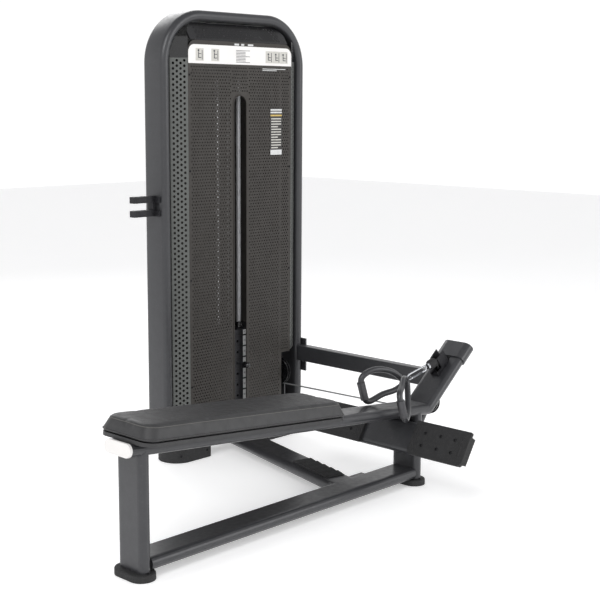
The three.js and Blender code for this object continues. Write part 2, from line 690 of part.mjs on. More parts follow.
const zTo = (axis) => new THREE.Quaternion().setFromUnitVectors(new THREE.Vector3(0, 0, 1), axis);

function addPulleys() {
  Object.entries(pulleys).forEach(([name, p]) => {
    const wheel = add(name, pulleyGeometry(p.r), blackPlastic());
    wheel.position.copy(p.centre);
    wheel.quaternion.copy(zTo(p.axis));
  });
}

// Two cheeks beside a pulley and the axle between them. Each cheek runs from beyond the axle to a point.
function cheeks(p, to, width, beyond = width / 2) {
  const off = PULLEY_T / 2 + 5;
  const span = to.clone().sub(p.centre);
  span.addScaledVector(p.axis, -span.dot(p.axis));
  const height = span.length();
  const turn = new THREE.Matrix4().makeBasis(
    p.axis.clone().cross(span.clone().normalize()).normalize(),
    p.axis,
    span.clone().normalize(),
  );
  const pieces = [-1, 1].map((s) => {
    const plate = new THREE.BoxGeometry(width, 5, height + beyond);
    plate.translate(0, s * (off + 2.5), (height - beyond) / 2);
    return plate.applyMatrix4(turn).translate(p.centre.x, p.centre.y, p.centre.z);
  });
  const a = p.centre.clone().addScaledVector(p.axis, -(off + 9));
  const b = p.centre.clone().addScaledVector(p.axis, off + 9);
  pieces.push(rod(a.toArray(), b.toArray(), AXLE_R, 16));
  return pieces;
}

function brackets() {
  const shelf = [1500, 1528];
  const bar = box([LEG_X[0] + 20 + GAP, LEG_X[1] - 20 - GAP], [TOWER_Y - 32, TOWER_Y + 32], shelf);
  const holes = [STACK_X, DROP_X].map((x) => rod([x, TOWER_Y, 1490], [x, TOWER_Y, 1540], 8, 12));
  const topCheeks = ["top_pulley_stack", "top_pulley_drop"].flatMap((name) => {
    const p = pulleys[name];
    return cheeks(p, new THREE.Vector3(p.centre.x, p.centre.y, shelf[1] - 2), 30);
  });
  add("crown_frame", join(cut(bar, ...holes), ...topCheeks), framePaint());
  const low = pulleys.tower_low_pulley;
  const onFloor = new THREE.Vector3(low.centre.x, low.centre.y, 80);
  const floorPlate = box([low.centre.x - 26, low.centre.x + 26], [TOWER_Y - 56, TOWER_Y + 38], [72, 82]);
  const lowBracket = join(...cheeks(low, onFloor, 34), floorPlate);
  add("tower_low_bracket", cut(lowBracket, ringSolid(GAP)), framePaint());
  const top = pulleys.mast_top_pulley;
  const down = new THREE.Vector3(mastDir.z, 0, -mastDir.x);
  const face = (top.centre.z - bend.z) * mastDir.x - (top.centre.x - bend.x) * mastDir.z;
  const foot = top.centre.clone().addScaledVector(down, face);
  const mastBracket = cut(join(...cheeks(top, foot, 46, 56)), slottedMast(GAP));
  add("mast_pulley_bracket", bracketWithBase(mastBracket, foot, down), iron());
  const under = pulleys.mast_low_pulley;
  const toMast = under.centre.clone().add(new THREE.Vector3(0, 0, 84));
  const hung = join(...cheeks(under, toMast, 26));
  add("mast_low_bracket", cut(hung, mastSolid(GAP)), iron());
}

// A base strip on the mast's face ties the two cheeks together on the seat side of the pulley.
function bracketWithBase(pair, foot, down) {
  const strip = new THREE.BoxGeometry(14, 36, 5).translate(-50, 0, 2.5 + GAP);
  const turn = new THREE.Matrix4().makeBasis(mastDir, new THREE.Vector3(0, 1, 0), down.clone().negate());
  strip.applyMatrix4(turn).translate(foot.x, foot.y, foot.z);
  const ties = [-1, 1].map((s) => {
    const tie = new THREE.BoxGeometry(40, 5, 14).translate(-37, s * (PULLEY_T / 2 + 7.5), 7 + GAP);
    return tie.applyMatrix4(turn).translate(foot.x, foot.y, foot.z);
  });
  return join(pair, strip, ...ties);
}

// The cable's axis round a pulley, from where it meets the groove to where it leaves.
function wrap(p, steps) {
  return Array.from({ length: steps + 1 }, (_, i) =>
    p.first
      .clone()
      .applyAxisAngle(p.axis, (i / steps) * p.angle)
      .add(p.centre),
  );
}

// A round tube along points, with its rings carried along without twist.
function cableTube(points, radius = CABLE_R) {
  let side = new THREE.Vector3();
  const rings = points.map((p, i) => {
    const before = points[Math.max(i - 1, 0)];
    const after = points[Math.min(i + 1, points.length - 1)];
    const tangent = after.clone().sub(before).normalize();
    if (i === 0) side = new THREE.Vector3(tangent.y, tangent.z, tangent.x).cross(tangent).normalize();
    side.addScaledVector(tangent, -side.dot(tangent)).normalize();
    const other = new THREE.Vector3().crossVectors(tangent, side);
    return circleOutline(radius, CABLE_SIDES).map((q) =>
      p.clone().addScaledVector(side, q.x).addScaledVector(other, q.y),
    );
  });
  return skin(rings, false);
}

// The hand end of the line: where it leaves the mast pulley, its stopper, snap hook and handle.
const lineStart = pulleys.mast_top_pulley.centre.clone().add(pulleys.mast_top_pulley.last);
const along = (distance) => lineStart.clone().addScaledVector(lineDir, distance);
const STOPPER = [37, 90]; // distances along the line
const EYE = [1299.6, 0, 399.1]; // the snap hook's far bend and the handle's ring both turn about this
const HUB = [1285, 0, 397]; // where the handle's bars meet

function cables() {
  const ends = GAP + 1;
  const head = new THREE.Vector3(STACK_X, TOWER_Y, headTop + GAP);
  const stackTop = new THREE.Vector3(STACK_X, TOWER_Y, TOP_PULLEY_Z - ends);
  add("stack_cable", cableTube([head, stackTop]), iron());
  const route = Object.values(pulleys).flatMap((p) => wrap(p, 6));
  add("drive_cable", cableTube(route), iron());
  add("handle_cable", cableTube([along(ends), along(STOPPER[0] - GAP)]), iron());
}

function handleLine() {
  const [near, far] = STOPPER;
  const profile = [
    [0, 0],
    [9, 0],
    [14, 7],
    [15, 18],
    [15, 34],
    [10, 48],
    [7, far - near],
    [0, far - near],
  ].map(([x, y]) => new THREE.Vector2(x, y));
  const ball = new THREE.LatheGeometry(profile, 16);
  const turn = new THREE.Quaternion().setFromUnitVectors(new THREE.Vector3(0, 1, 0), lineDir);
  const at = along(near);
  ball.applyQuaternion(turn).translate(at.x, at.y, at.z);
  add("cable_stopper", ball, rubber());
  // Snap hook: an oval ring of round bar in the bench's mid plane, from the stopper to the handle ring.
  const from = along(far + 3.6);
  const to = new THREE.Vector3(...EYE);
  const span = to.clone().sub(from);
  const length = span.length();
  const dir = span.clone().normalize();
  const up = new THREE.Vector3(-dir.z, 0, dir.x);
  const half = 10;
  const straight = length - half;
  const points = [];
  const turns = 6;
  for (let i = 0; i <= turns; i++) {
    const a = Math.PI / 2 + (i * Math.PI) / turns;
    points.push([half + half * Math.cos(a), half * Math.sin(a)]);
  }
  for (let i = 0; i <= turns; i++) {
    const a = -Math.PI / 2 + (i * Math.PI) / turns;
    points.push([half + straight + half * Math.cos(a), half * Math.sin(a)]);
  }
  const loop = points.map(([s, h]) => from.clone().addScaledVector(dir, s).addScaledVector(up, h));
  add("snap_hook", sweepPlanar(circleOutline(3.2, 8), loop, new THREE.Vector3(0, 1, 0), true), steel());
}

// ---- close-grip handle ----
const HANDLE_BAR_R = 9.5;
const GRIP_CENTRES = {
  left: new THREE.Vector3(1098, 54, 371),
  right: new THREE.Vector3(1125, -108, 327),
};
const GRIP_DIR = new THREE.Vector3(-0.2, 0.14, 0.96).normalize();
const GRIP_HALF = 42;

// Each D runs from the hub, bends into its grip and comes back to the hub.
function handleBar() {
  const hub = new THREE.Vector3(...HUB);
  const loops = Object.values(GRIP_CENTRES).map((centre) => {
    const out = centre.clone().sub(hub);
    const dir = out.clone().addScaledVector(GRIP_DIR, -out.dot(GRIP_DIR));
    const reach = dir.length();
    dir.normalize();
    const offset = out.dot(GRIP_DIR);
    const at = (a, b) => hub.clone().addScaledVector(dir, a).addScaledVector(GRIP_DIR, b);
    const curve = new THREE.CatmullRomCurve3(
      [
        at(20, -4),
        at(reach * 0.3, offset * 0.4 + 38),
        at(reach * 0.66, offset + 58),
        at(reach - 12, offset + GRIP_HALF + 8),
        at(reach, offset + GRIP_HALF - 12),
        at(reach, offset - GRIP_HALF + 12),
        at(reach - 12, offset - GRIP_HALF - 3),
        at(reach * 0.6, offset - 41),
        at(reach * 0.3, offset * 0.4 - 32),
        at(20, -12),
      ],
      true,
      "centripetal",
    );
    const u = new THREE.Vector3().crossVectors(dir, GRIP_DIR).normalize();
    const steps = 28;
    const points = Array.from({ length: steps }, (_, i) => curve.getPointAt(i / steps));
    return sweepPlanar(circleOutline(HANDLE_BAR_R, 8), points, u, true);
  });
  // A short lug carries the ring that the snap hook passes through.
  const middle = GRIP_CENTRES.left.clone().add(GRIP_CENTRES.right).multiplyScalar(0.5).sub(hub).normalize();
  const lugEnd = hub.clone().addScaledVector(middle, 34);
  const lug = rod(hub.clone().addScaledVector(middle, 12).toArray(), lugEnd.toArray(), 12, 14);
  const steps = 14;
  const ringR = 13;
  const ringPoints = Array.from({ length: steps }, (_, i) => {
    const a = (2 * Math.PI * i) / steps;
    return new THREE.Vector3(...EYE)
      .addScaledVector(X, ringR * (Math.cos(a) - 1))
      .addScaledVector(Y, ringR * Math.sin(a));
  });
  const eyeRing = sweepPlanar(circleOutline(4.2, 8), ringPoints, Z, true);
  add("row_handle", join(loops[0], loops[1], lug, eyeRing), framePaint());
}

benchPosts();
benchBeam();
seat();
footBar();
footBarBracket();
towerFrame();
floorMember();
linkBeam();
accessoryHook();
shroud();
stack();
addPulleys();
brackets();
cables();
handleLine();
handleBar();

// The origin moves from the rear post to the centre of the footprint.
const footprint = new THREE.Box3().setFromObject(machine, true).getCenter(new THREE.Vector3());
machine.position.set(-footprint.x, -footprint.y, 0);
const model = new THREE.Group();
model.add(machine);
export default model;
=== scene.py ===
import json
import math

import bmesh
import bpy
import numpy as np
from mathutils import Matrix, Quaternion, Vector
from mathutils.bvhtree import BVHTree


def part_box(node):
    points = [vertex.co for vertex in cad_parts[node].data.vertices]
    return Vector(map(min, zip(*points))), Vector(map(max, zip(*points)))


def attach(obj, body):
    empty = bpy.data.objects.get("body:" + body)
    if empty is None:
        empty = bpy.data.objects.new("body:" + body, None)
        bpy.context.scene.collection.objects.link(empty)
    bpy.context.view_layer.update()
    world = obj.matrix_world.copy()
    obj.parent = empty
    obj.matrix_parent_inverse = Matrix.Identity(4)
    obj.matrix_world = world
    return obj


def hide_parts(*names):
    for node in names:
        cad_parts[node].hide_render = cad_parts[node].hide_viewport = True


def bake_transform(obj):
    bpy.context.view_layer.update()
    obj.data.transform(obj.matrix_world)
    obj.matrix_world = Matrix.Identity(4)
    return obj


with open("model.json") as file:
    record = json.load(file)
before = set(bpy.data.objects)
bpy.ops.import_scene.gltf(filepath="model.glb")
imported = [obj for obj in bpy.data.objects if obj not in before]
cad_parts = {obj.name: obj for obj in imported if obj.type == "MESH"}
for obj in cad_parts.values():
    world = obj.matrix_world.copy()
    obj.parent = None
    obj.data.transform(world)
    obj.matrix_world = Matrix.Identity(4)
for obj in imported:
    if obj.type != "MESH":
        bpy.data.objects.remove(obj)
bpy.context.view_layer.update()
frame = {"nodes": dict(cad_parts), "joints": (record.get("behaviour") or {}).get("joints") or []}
scene = bpy.context.scene
nodes = frame["nodes"]
Z = Vector((0, 0, 1))

# ---- camera ----
YAW, PITCH, ROLL = math.radians(43.65), math.radians(9.23), math.radians(0.31)
ahead = Vector((math.cos(YAW) * math.cos(PITCH), math.sin(YAW) * math.cos(PITCH), -math.sin(PITCH)))
right = ahead.cross(Z).normalized()
up = right.cross(ahead)
cam_x = right * math.cos(ROLL) + up * math.sin(ROLL)
cam_y = up * math.cos(ROLL) - right * math.sin(ROLL)
camera_data = bpy.data.cameras.new("camera")
camera_data.lens = 73.12
camera_data.sensor_width = 36
camera_data.shift_x = 0.0043
camera_data.shift_y = 0.0005
camera_data.clip_end = 60
camera = bpy.data.objects.new("camera", camera_data)
turned = Matrix((cam_x, cam_y, -ahead)).transposed().to_4x4()
camera.matrix_world = Matrix.Translation((-2.955, -3.024, 1.4)) @ turned
scene.collection.objects.link(camera)
scene.camera = camera
scene.view_settings.view_transform = "Standard"


# ---- materials ----
def srgb(*c):
    return tuple((v / 255) ** 2.2 for v in c)


def material(name, colour, rough, metal=0.0, mottle=0.1, scale=30, bump=0.1, bump_scale=500,
             cells=False, stretch=None, coat=0.0, dust=0.0):
    """Colour varied by two noises, roughness by a third, and a fine bump of noise or leather-like cells."""
    m = bpy.data.materials.new(name)
    m.use_nodes = True
    tree = m.node_tree
    link = tree.links.new

    def node(kind, **values):
        n = tree.nodes.new(kind)
        for key, value in values.items():
            n.inputs[key].default_value = value
        return n

    bsdf = tree.nodes["Principled BSDF"]
    coords = tree.nodes.new("ShaderNodeTexCoord")
    mapping = node("ShaderNodeMapping", Scale=stretch or (1, 1, 1))
    link(coords.outputs["Object"], mapping.inputs["Vector"])

    def noise_node(s, detail=4.0):
        n = node("ShaderNodeTexNoise", Scale=s, Detail=detail)
        link(mapping.outputs["Vector"], n.inputs["Vector"])
        return n.outputs["Fac"]

    def ramp(source, low, high, a, b):
        r = tree.nodes.new("ShaderNodeValToRGB")
        r.color_ramp.elements[0].position, r.color_ramp.elements[1].position = low, high
        r.color_ramp.elements[0].color, r.color_ramp.elements[1].color = (*a, 1), (*b, 1)
        link(source, r.inputs["Fac"])
        return r.outputs["Color"]

    dark = tuple(v * (1 - mottle) for v in colour)
    light = tuple(min(1, v * (1 + mottle)) for v in colour)
    base = ramp(noise_node(scale), 0.3, 0.7, dark, light)
    mix = tree.nodes.new("ShaderNodeMix")
    mix.data_type = "RGBA"
    mix.blend_type = "MULTIPLY"
    mix.inputs["Factor"].default_value = 1.0
    link(base, mix.inputs[6])
    link(ramp(noise_node(scale * 0.12, 2.0), 0.25, 0.75, (1 - mottle * 0.6,) * 3, (1, 1, 1)), mix.inputs[7])
    colour_out = mix.outputs[2]
    if dust:
        powder = tree.nodes.new("ShaderNodeMix")
        powder.data_type = "RGBA"
        link(colour_out, powder.inputs[6])
        powder.inputs[7].default_value = (0.45, 0.44, 0.42, 1)
        link(ramp(noise_node(scale * 6, 8.0), 0.55, 0.9, (0, 0, 0), (dust,) * 3), powder.inputs[0])
        colour_out = powder.outputs[2]
    link(colour_out, bsdf.inputs["Base Color"])
    bsdf.inputs["Metallic"].default_value = metal
    spread = node("ShaderNodeMapRange", **{"From Min": 0.3, "From Max": 0.7,
                                           "To Min": max(0.03, rough - 0.07), "To Max": rough + 0.07})
    link(noise_node(scale * 2.5, 6.0), spread.inputs["Value"])
    link(spread.outputs["Result"], bsdf.inputs["Roughness"])
    bsdf.inputs["Coat Weight"].default_value = coat
    bsdf.inputs["Coat Roughness"].default_value = 0.25
    if cells:
        v = node("ShaderNodeTexVoronoi", Scale=bump_scale)
        v.feature = "DISTANCE_TO_EDGE"
        link(mapping.outputs["Vector"], v.inputs["Vector"])
        height = v.outputs["Distance"]
    else:
        height = noise_node(bump_scale, 3.0)
    b = node("ShaderNodeBump", Strength=bump, Distance=0.0008)
    link(height, b.inputs["Height"])
    link(b.outputs["Normal"], bsdf.inputs["Normal"])
    return m


PAINT = material("frame_paint", srgb(58, 58.5, 61), 0.36, 0.25, 0.06, 20, 0.06, 700, coat=0.25, dust=0.04)
COVER = material("cover_paint", srgb(54, 51, 48), 0.55, 0.2, 0.08, 14, 0.12, 900)
STRIP = material("strip_paint", srgb(92, 94, 92), 0.45, 0.25, 0.05, 18, 0.1, 800)
BLACK = material("black_plastic", srgb(22, 22, 24), 0.22, 0, 0.25, 25, 0.08, 600, coat=0.4)
RUBBER = material("rubber", srgb(40, 40, 41), 0.75, 0, 0.14, 45, 0.35, 900, cells=True, dust=0.08)
STEEL = material("chrome", srgb(196, 198, 202), 0.16, 1, 0.05, 60, 0.04, 900, stretch=(1, 1, 0.08))
IRON = material("iron", srgb(44, 44, 47), 0.5, 0.5, 0.16, 35, 0.3, 450, dust=0.05)
VINYL = material("vinyl", srgb(52, 52, 53), 0.5, 0, 0.07, 16, 0.3, 620, cells=True)
SEAM = material("seam_thread", srgb(96, 95, 92), 0.7, 0, 0.12, 300, 0.4, 1500)
WHITE = material("white_plastic", srgb(232, 230, 228), 0.35, 0, 0.02, 12, 0.05, 500)
CABLE = material("cable_rope", srgb(150, 151, 152), 0.35, 0.6, 0.2, 200, 0.3, 1400, stretch=(1, 1, 3))
PLATE = material("plate_lacquer", srgb(48, 48, 51), 0.42, 0.4, 0.18, 30, 0.35, 350, dust=0.04)
LABEL = material("label_print", srgb(205, 206, 206), 0.4, 0, 0.04, 60, 0.03, 400)
INK = material("label_ink", srgb(58, 60, 66), 0.5, 0, 0.08, 80, 0.03, 400)
DARK_LABEL = material("label_dark", srgb(44, 43, 42), 0.45, 0, 0.06, 60, 0.05, 400)
AMBER = material("label_amber", srgb(196, 168, 92), 0.45, 0, 0.05, 80, 0.04, 400)
TINT = material("label_tint", srgb(196, 194, 188), 0.5, 0, 0.06, 80, 0.03, 400)
BOLT = material("bolt_zinc", srgb(120, 122, 126), 0.32, 0.9, 0.1, 150, 0.1, 900)
DARK_BOLT = material("bolt_black", srgb(30, 30, 32), 0.35, 0.6, 0.15, 150, 0.15, 900)
ROD = material("guide_rod_chrome", srgb(226, 227, 230), 0.3, 0.35, 0.03, 60, 0.03, 900, stretch=(1, 1, 0.08))
KNURL = material("knurled_steel", srgb(84, 84, 86), 0.42, 0.7, 0.1, 120, 0.2, 1200)
FLOOR = material("floor_paint", srgb(246, 246, 246), 0.6, 0, 0.01, 2, 0.02, 60)


# ---- mesh building ----
def frame_of(axis):
    """Two unit vectors square to axis and to each other."""
    axis = axis.normalized()
    side = axis.cross(Z if abs(axis.z) < 0.9 else Vector((1, 0, 0))).normalized()
    return side, axis.cross(side)


class Solid:
    """Collects closed shapes that make one piece."""

    def __init__(self):
        self.verts, self.faces = [], []

    def add(self, verts, faces):
        start = len(self.verts)
        self.verts += [tuple(v) for v in verts]
        self.faces += [tuple(start + i for i in f) for f in faces]
        return self

    def rings(self, rings, closed=False, caps=True):
        n, k = len(rings[0]), len(rings)
        faces = []
        for i in range(k if closed else k - 1):
            j = (i + 1) % k
            faces += [(i * n + a, i * n + (a + 1) % n, j * n + (a + 1) % n, j * n + a) for a in range(n)]
        if caps and not closed:
            faces += [tuple(range(n))[::-1], tuple(range((k - 1) * n, k * n))]
        return self.add([v for r in rings for v in r], faces)

    def tube(self, points, radius, sides=20, closed=False):
        points = [Vector(p) for p in points]
        k = len(points)
        if closed:
            tangents = [(points[(i + 1) % k] - points[i - 1]).normalized() for i in range(k)]
        else:
            tangents = [(points[min(i + 1, k - 1)] - points[max(i - 1, 0)]).normalized() for i in range(k)]
        side, _ = frame_of(tangents[0])
        rings, sides_at = [], []
        for t in tangents:
            side = (side - t * side.dot(t)).normalized()
            sides_at.append(side.copy())
        if closed:
            # The frame's leftover twist after one turn is spread along the loop.
            end = (sides_at[-1] - tangents[0] * sides_at[-1].dot(tangents[0])).normalized()
            twist = math.atan2(tangents[0].dot(end.cross(sides_at[0])), end.dot(sides_at[0]))
            sides_at = [Quaternion(t, twist * i / k) @ s for i, (s, t) in enumerate(zip(sides_at, tangents))]
        for i, (p, t, s) in enumerate(zip(points, tangents, sides_at)):
            other = t.cross(s)
            r = radius(i / (k - 1)) if callable(radius) else radius
            ring = [2 * math.pi * a / sides for a in range(sides)]
            rings.append([p + (s * math.cos(a) + other * math.sin(a)) * r for a in ring])
        return self.rings(rings, closed)

    def lathe(self, origin, axis, profile, sides=48):
        """profile is (distance along the axis, radius) pairs, from one end on the axis to the other."""
        side, other = frame_of(axis)
        axis = axis.normalized()
        angles = [2 * math.pi * a / sides for a in range(sides)]
        rings = []
        for along, r in profile:
            if r > 0:
                centre = Vector(origin) + axis * along
                rings.append([centre + (side * math.cos(a) + other * math.sin(a)) * r for a in angles])
        return self.rings(rings)

    def washer(self, origin, axis, profile, sides=64):
        """As lathe, but the profile closes on itself, off the axis."""
        side, other = frame_of(axis)
        axis = axis.normalized()
        rings = []
        for a in (2 * math.pi * i / sides for i in range(sides)):
            out = side * math.cos(a) + other * math.sin(a)
            rings.append([Vector(origin) + axis * along + out * r for along, r in profile])
        return self.rings(rings, closed=True)

    def box(self, lo, hi):
        corners = [(x, y, z) for x in (lo[0], hi[0]) for y in (lo[1], hi[1]) for z in (lo[2], hi[2])]
        sides = [(0, 1, 3, 2), (4, 6, 7, 5), (0, 4, 5, 1), (2, 3, 7, 6), (0, 2, 6, 4), (1, 5, 7, 3)]
        return self.add(corners, sides)

    def screw(self, at, out, r=0.006):
        """A button head with a round socket."""
        at, out = Vector(at), Vector(out).normalized()
        dome = [(0, 0), (0, r), (r * 0.18, r), (r * 0.42, r * 0.8), (r * 0.55, r * 0.5)]
        return self.lathe(at, out, dome + [(r * 0.55, r * 0.42), (r * 0.2, r * 0.42), (r * 0.2, 0)], 24)

    def make(self, name, mat, body="frame", smooth=35, bevel=0, node=None, slot=None):
        mesh = bpy.data.meshes.new(name)
        mesh.from_pydata(self.verts, [], self.faces)
        work = bmesh.new()
        work.from_mesh(mesh)
        bmesh.ops.recalc_face_normals(work, faces=work.faces)
        work.to_mesh(mesh)
        work.free()
        mesh.materials.append(mat)
        obj = bpy.data.objects.new(name, mesh)
        scene.collection.objects.link(obj)
        shade(mesh, smooth)
        if bevel:
            soften(obj, bevel)
        if body:
            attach(obj, body)
        if node:
            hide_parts(node)
        return obj


def shade(mesh, angle):
    """Smooth faces, with the edges sharper than this many degrees marked sharp."""
    work = bmesh.new()
    work.from_mesh(mesh)
    for f in work.faces:
        f.smooth = True
    limit = math.radians(angle)
    for e in work.edges:
        e.smooth = len(e.link_faces) == 2 and e.calc_face_angle(3.2) < limit
    work.to_mesh(mesh)
    work.free()


def soften(obj, width, angle=50, segments=2):
    mod = obj.modifiers.new("soft_edges", "BEVEL")
    mod.width = width
    mod.segments = segments
    mod.limit_method = "ANGLE"
    mod.angle_limit = math.radians(angle)
    mod.use_clamp_overlap = True
    mod.harden_normals = True


# ---- finish of the CAD pieces that show as they are ----
SHOWN = {
    PAINT: "rear_post front_post floor_rail bench_beam cable_mast mast_head_cap foot_bar "
           "foot_bar_bracket mast_brace floor_member link_beam crown_frame tower_low_bracket",
    RUBBER: "rear_foot front_foot tower_boot_left tower_boot_right anti_slip_tread",
    BLACK: "crown_left crown_right",
    WHITE: "beam_end_cap placard",
    VINYL: "seat_board",
    IRON: "accessory_hook stack_base mast_pulley_bracket mast_low_bracket",
    PLATE: "head_plate " + " ".join(f"weight_plate_{i:02d}" for i in range(1, 9)),
    COVER: "rear_shell",
    STEEL: "selector_rod",
    ROD: "guide_rod_left guide_rod_right",
}
# Widths of the softened edges, in metres.
PLATE_EDGE = 0.0018
EDGE = {"rear_foot": 0.003, "front_foot": 0.003, "tower_boot_left": 0.004, "tower_boot_right": 0.004,
        "head_plate": 0.0015, "link_beam": 0.0012, "seat_board": 0.002, "crown_left": 0.001,
        "crown_right": 0.001, "beam_end_cap": 0.0025, "accessory_hook": 0.004,
        "anti_slip_tread": 0.0012, "stack_base": 0.002}
for mat, names in SHOWN.items():
    for name in names.split():
        mesh = nodes[name].data
        mesh.materials.clear()
        mesh.materials.append(mat)
        shade(mesh, 42)
        width = EDGE.get(name, PLATE_EDGE if name.startswith("weight_plate") else 0)
        if width:
            soften(nodes[name], width)

# The bench's own place: x from the rear post's axis, y from the bench's mid plane, both in millimetres.
post_lo, post_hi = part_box("rear_post")
BENCH = Vector(((post_lo.x + post_hi.x) / 2, (post_lo.y + post_hi.y) / 2, 0))


def at(x, y, z):
    return BENCH + Vector((x, y, z)) / 1000


# ---- perforated sheets ----
def perforated(solid, origin, across, along, out, width, height, pitch, row, hole, thick):
    """A sheet with staggered round holes, closed on both faces. Rows step along; holes are spaced across."""
    columns = max(1, round(width / pitch))
    rows = max(1, round(height / row))
    p, h = width / columns, height / rows
    outer = [(-1, -1), (0, -1), (1, -1), (1, 0), (1, 1), (0, 1), (-1, 1), (-1, 0)]
    start = [math.atan2(b * h, a * p) for a, b in outer]
    flat_verts, flat_faces = [], []
    index = {}

    def vertex(x, y):
        key = (round(x * 1e6), round(y * 1e6))
        if key not in index:
            index[key] = len(flat_verts)
            flat_verts.append((x, y))
        return index[key]

    for r in range(rows):
        y = (r + 0.5) * h
        shift = 0.5 * (r % 2)
        for c in range(columns if not shift else columns - 1):
            x = (c + 0.5 + shift) * p
            ring = [vertex(x + a * p / 2, y + b * h / 2) for a, b in outer]
            inner = [vertex(x + hole * math.cos(t), y + hole * math.sin(t)) for t in start]
            for i in range(8):
                j = (i + 1) % 8
                flat_faces.append((ring[i], ring[j], inner[j], inner[i]))
        if shift:
            for x0, x1 in ((0, p / 2), (width - p / 2, width)):
                corners = [(x0, y - h / 2), (x1, y - h / 2), (x1, y)]
                corners += [(x1, y + h / 2), (x0, y + h / 2), (x0, y)]
                flat_faces.append(tuple(vertex(*q) for q in corners))
    n = len(flat_verts)
    origin, across, along, out = (Vector(v) for v in (origin, across, along, out))
    front = [origin + across * x + along * y for x, y in flat_verts]
    verts = front + [v - out * thick for v in front]
    faces = flat_faces + [tuple(n + i for i in f[::-1]) for f in flat_faces]
    used = {}
    for f in flat_faces:
        for a, b in zip(f, f[1:] + f[:1]):
            used[(a, b)] = used.get((a, b), 0) + 1
    for a, b in list(used):
        if (b, a) not in used:
            faces.append((b, a, n + a, n + b))
    solid.add(verts, faces)
    return solid


cover_lo, cover_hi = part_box("front_cover")
FRONT, SHEET = cover_lo.y, cover_hi.y - cover_lo.y
X_, Y_ = Vector((1, 0, 0)), Vector((0, 1, 0))
OUT = -Y_
# The selector slot's left and right sides, its foot and its top.
SLOT = (at(1122, 0, 0).x, at(1192, 0, 0).x, 0.110, 1.426)
PASSAGE_X, PASSAGE_TOP = at(1392, 0, 0).x, 0.368


def cover():
    """Four perforated fields inside plain borders, round the selector slot and over the cable passage."""
    s = Solid()
    x0, x1, z0, z1 = cover_lo.x, cover_hi.x, cover_lo.z, cover_hi.z
    border = 0.010
    pitch, row, hole = 0.0135, 0.0118, 0.0033
    top = 1.536  # where the holes end

    def plain(a, b, c, d):
        s.box((a, FRONT, c), (b, FRONT + SHEET, d))

    def field(a, b, c, d):
        perforated(s, (a, FRONT, c), X_, Z, OUT, b - a, d - c, pitch, row, hole, SHEET)

    left, right_, low, high = SLOT
    field(x0 + border, left - border, z0 + border, top)
    field(right_ + border, PASSAGE_X - border, z0 + border, top)
    field(PASSAGE_X - border, x1 - border, PASSAGE_TOP + border, top)
    field(left - border, right_ + border, high + border, top)
    plain(x0, x0 + border, z0, top)
    plain(left - border, left, z0 + border, high + border)
    plain(right_, right_ + border, z0 + border, high + border)
    plain(x1 - border, x1, PASSAGE_TOP, top)
    plain(PASSAGE_X - border, x1 - border, PASSAGE_TOP, PASSAGE_TOP + border)
    plain(PASSAGE_X - border, PASSAGE_X, z0, PASSAGE_TOP)
    plain(x0 + border, left - border, z0, z0 + border)
    plain(right_ + border, PASSAGE_X - border, z0, z0 + border)
    plain(left - border, right_ + border, z0, low)
    # Above the fields the sheet is plain, with rounded top corners.
    r = 0.038
    outline = [(x0, top), (x1, top)]
    for x, a0 in ((x1 - r, 0), (x0 + r, math.pi / 2)):
        angles = np.linspace(a0, a0 + math.pi / 2, 9)
        outline += [(x + r * math.cos(a), z1 - r + r * math.sin(a)) for a in angles]
    s.rings([[(x, FRONT, z) for x, z in outline], [(x, FRONT + SHEET, z) for x, z in outline]])
    # The slot's round head is a half-ring between its straight top and the field above.
    radius = (right_ - left) / 2
    mid = (left + right_) / 2
    spring = high - radius
    arc = [(mid + radius * math.cos(a), spring + radius * math.sin(a)) for a in np.linspace(0, math.pi, 19)]
    head = arc + [(left, high + border), (right_, high + border)]
    s.rings([[(x, FRONT, z) for x, z in head], [(x, FRONT + SHEET, z) for x, z in head]])
    s.make("cover_sheet", COVER, node="front_cover", slot="cover_paint", smooth=30)
    # A rolled lip round the slot.
    foot = 0.008
    path = [(left, low + foot), *arc[::-1], (right_, low + foot), (right_ - foot, low), (left + foot, low)]
    lip = Solid().tube([(x, FRONT - 0.0004, z) for x, z in path], 0.0026, 10, closed=True)
    lip.make("slot_lip", COVER, slot="cover_paint", smooth=60)


cover()


def strips():
    """The perforated strips that lean back from the cover's sides."""
    depth, thick, edge = 0.038, 0.003, 0.006
    pitch, hole = 0.020, 0.0052
    foot = 0.116  # the plain end below the left strip's holes
    narrow = 0.036
    for side, sign in (("left", -1), ("right", 1)):
        lo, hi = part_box(f"side_strip_{side}")
        inner = hi.x if sign < 0 else lo.x
        outer = lo.x if sign < 0 else hi.x
        run = Vector((outer - inner, depth, 0))
        across = run.normalized()
        out = Vector((across.y * sign, -abs(across.x), 0))
        width = run.length
        s = Solid()
        base = lo.z if sign > 0 else lo.z + foot
        start = Vector((inner, FRONT, base))
        # Columns of holes run up the strip, every second one half a pitch higher.
        field_w = width - 2 * edge
        origin = start + across * edge
        perforated(s, origin, Z, across, out, hi.z - base, field_w, pitch, field_w / 4, hole, thick)
        for a, b in ((0, edge), (width - edge, width)):
            ring = [start + across * a, start + across * b]
            ring += [ring[1] - out * thick, ring[0] - out * thick]
            s.rings([ring, [v + Z * (hi.z - base) for v in ring]])
        if sign < 0:
            # Below the field the strip is plain and narrows beside the ring's floor corner.
            ring = [start, start + across * width, start + across * narrow - Z * 0.02]
            ring += [start + across * narrow - Z * foot, start - Z * foot]
            s.rings([ring, [v - out * thick for v in ring]])
        s.make(f"strip_{side}", STRIP, node=f"side_strip_{side}", slot="strip_paint", smooth=30)


strips()


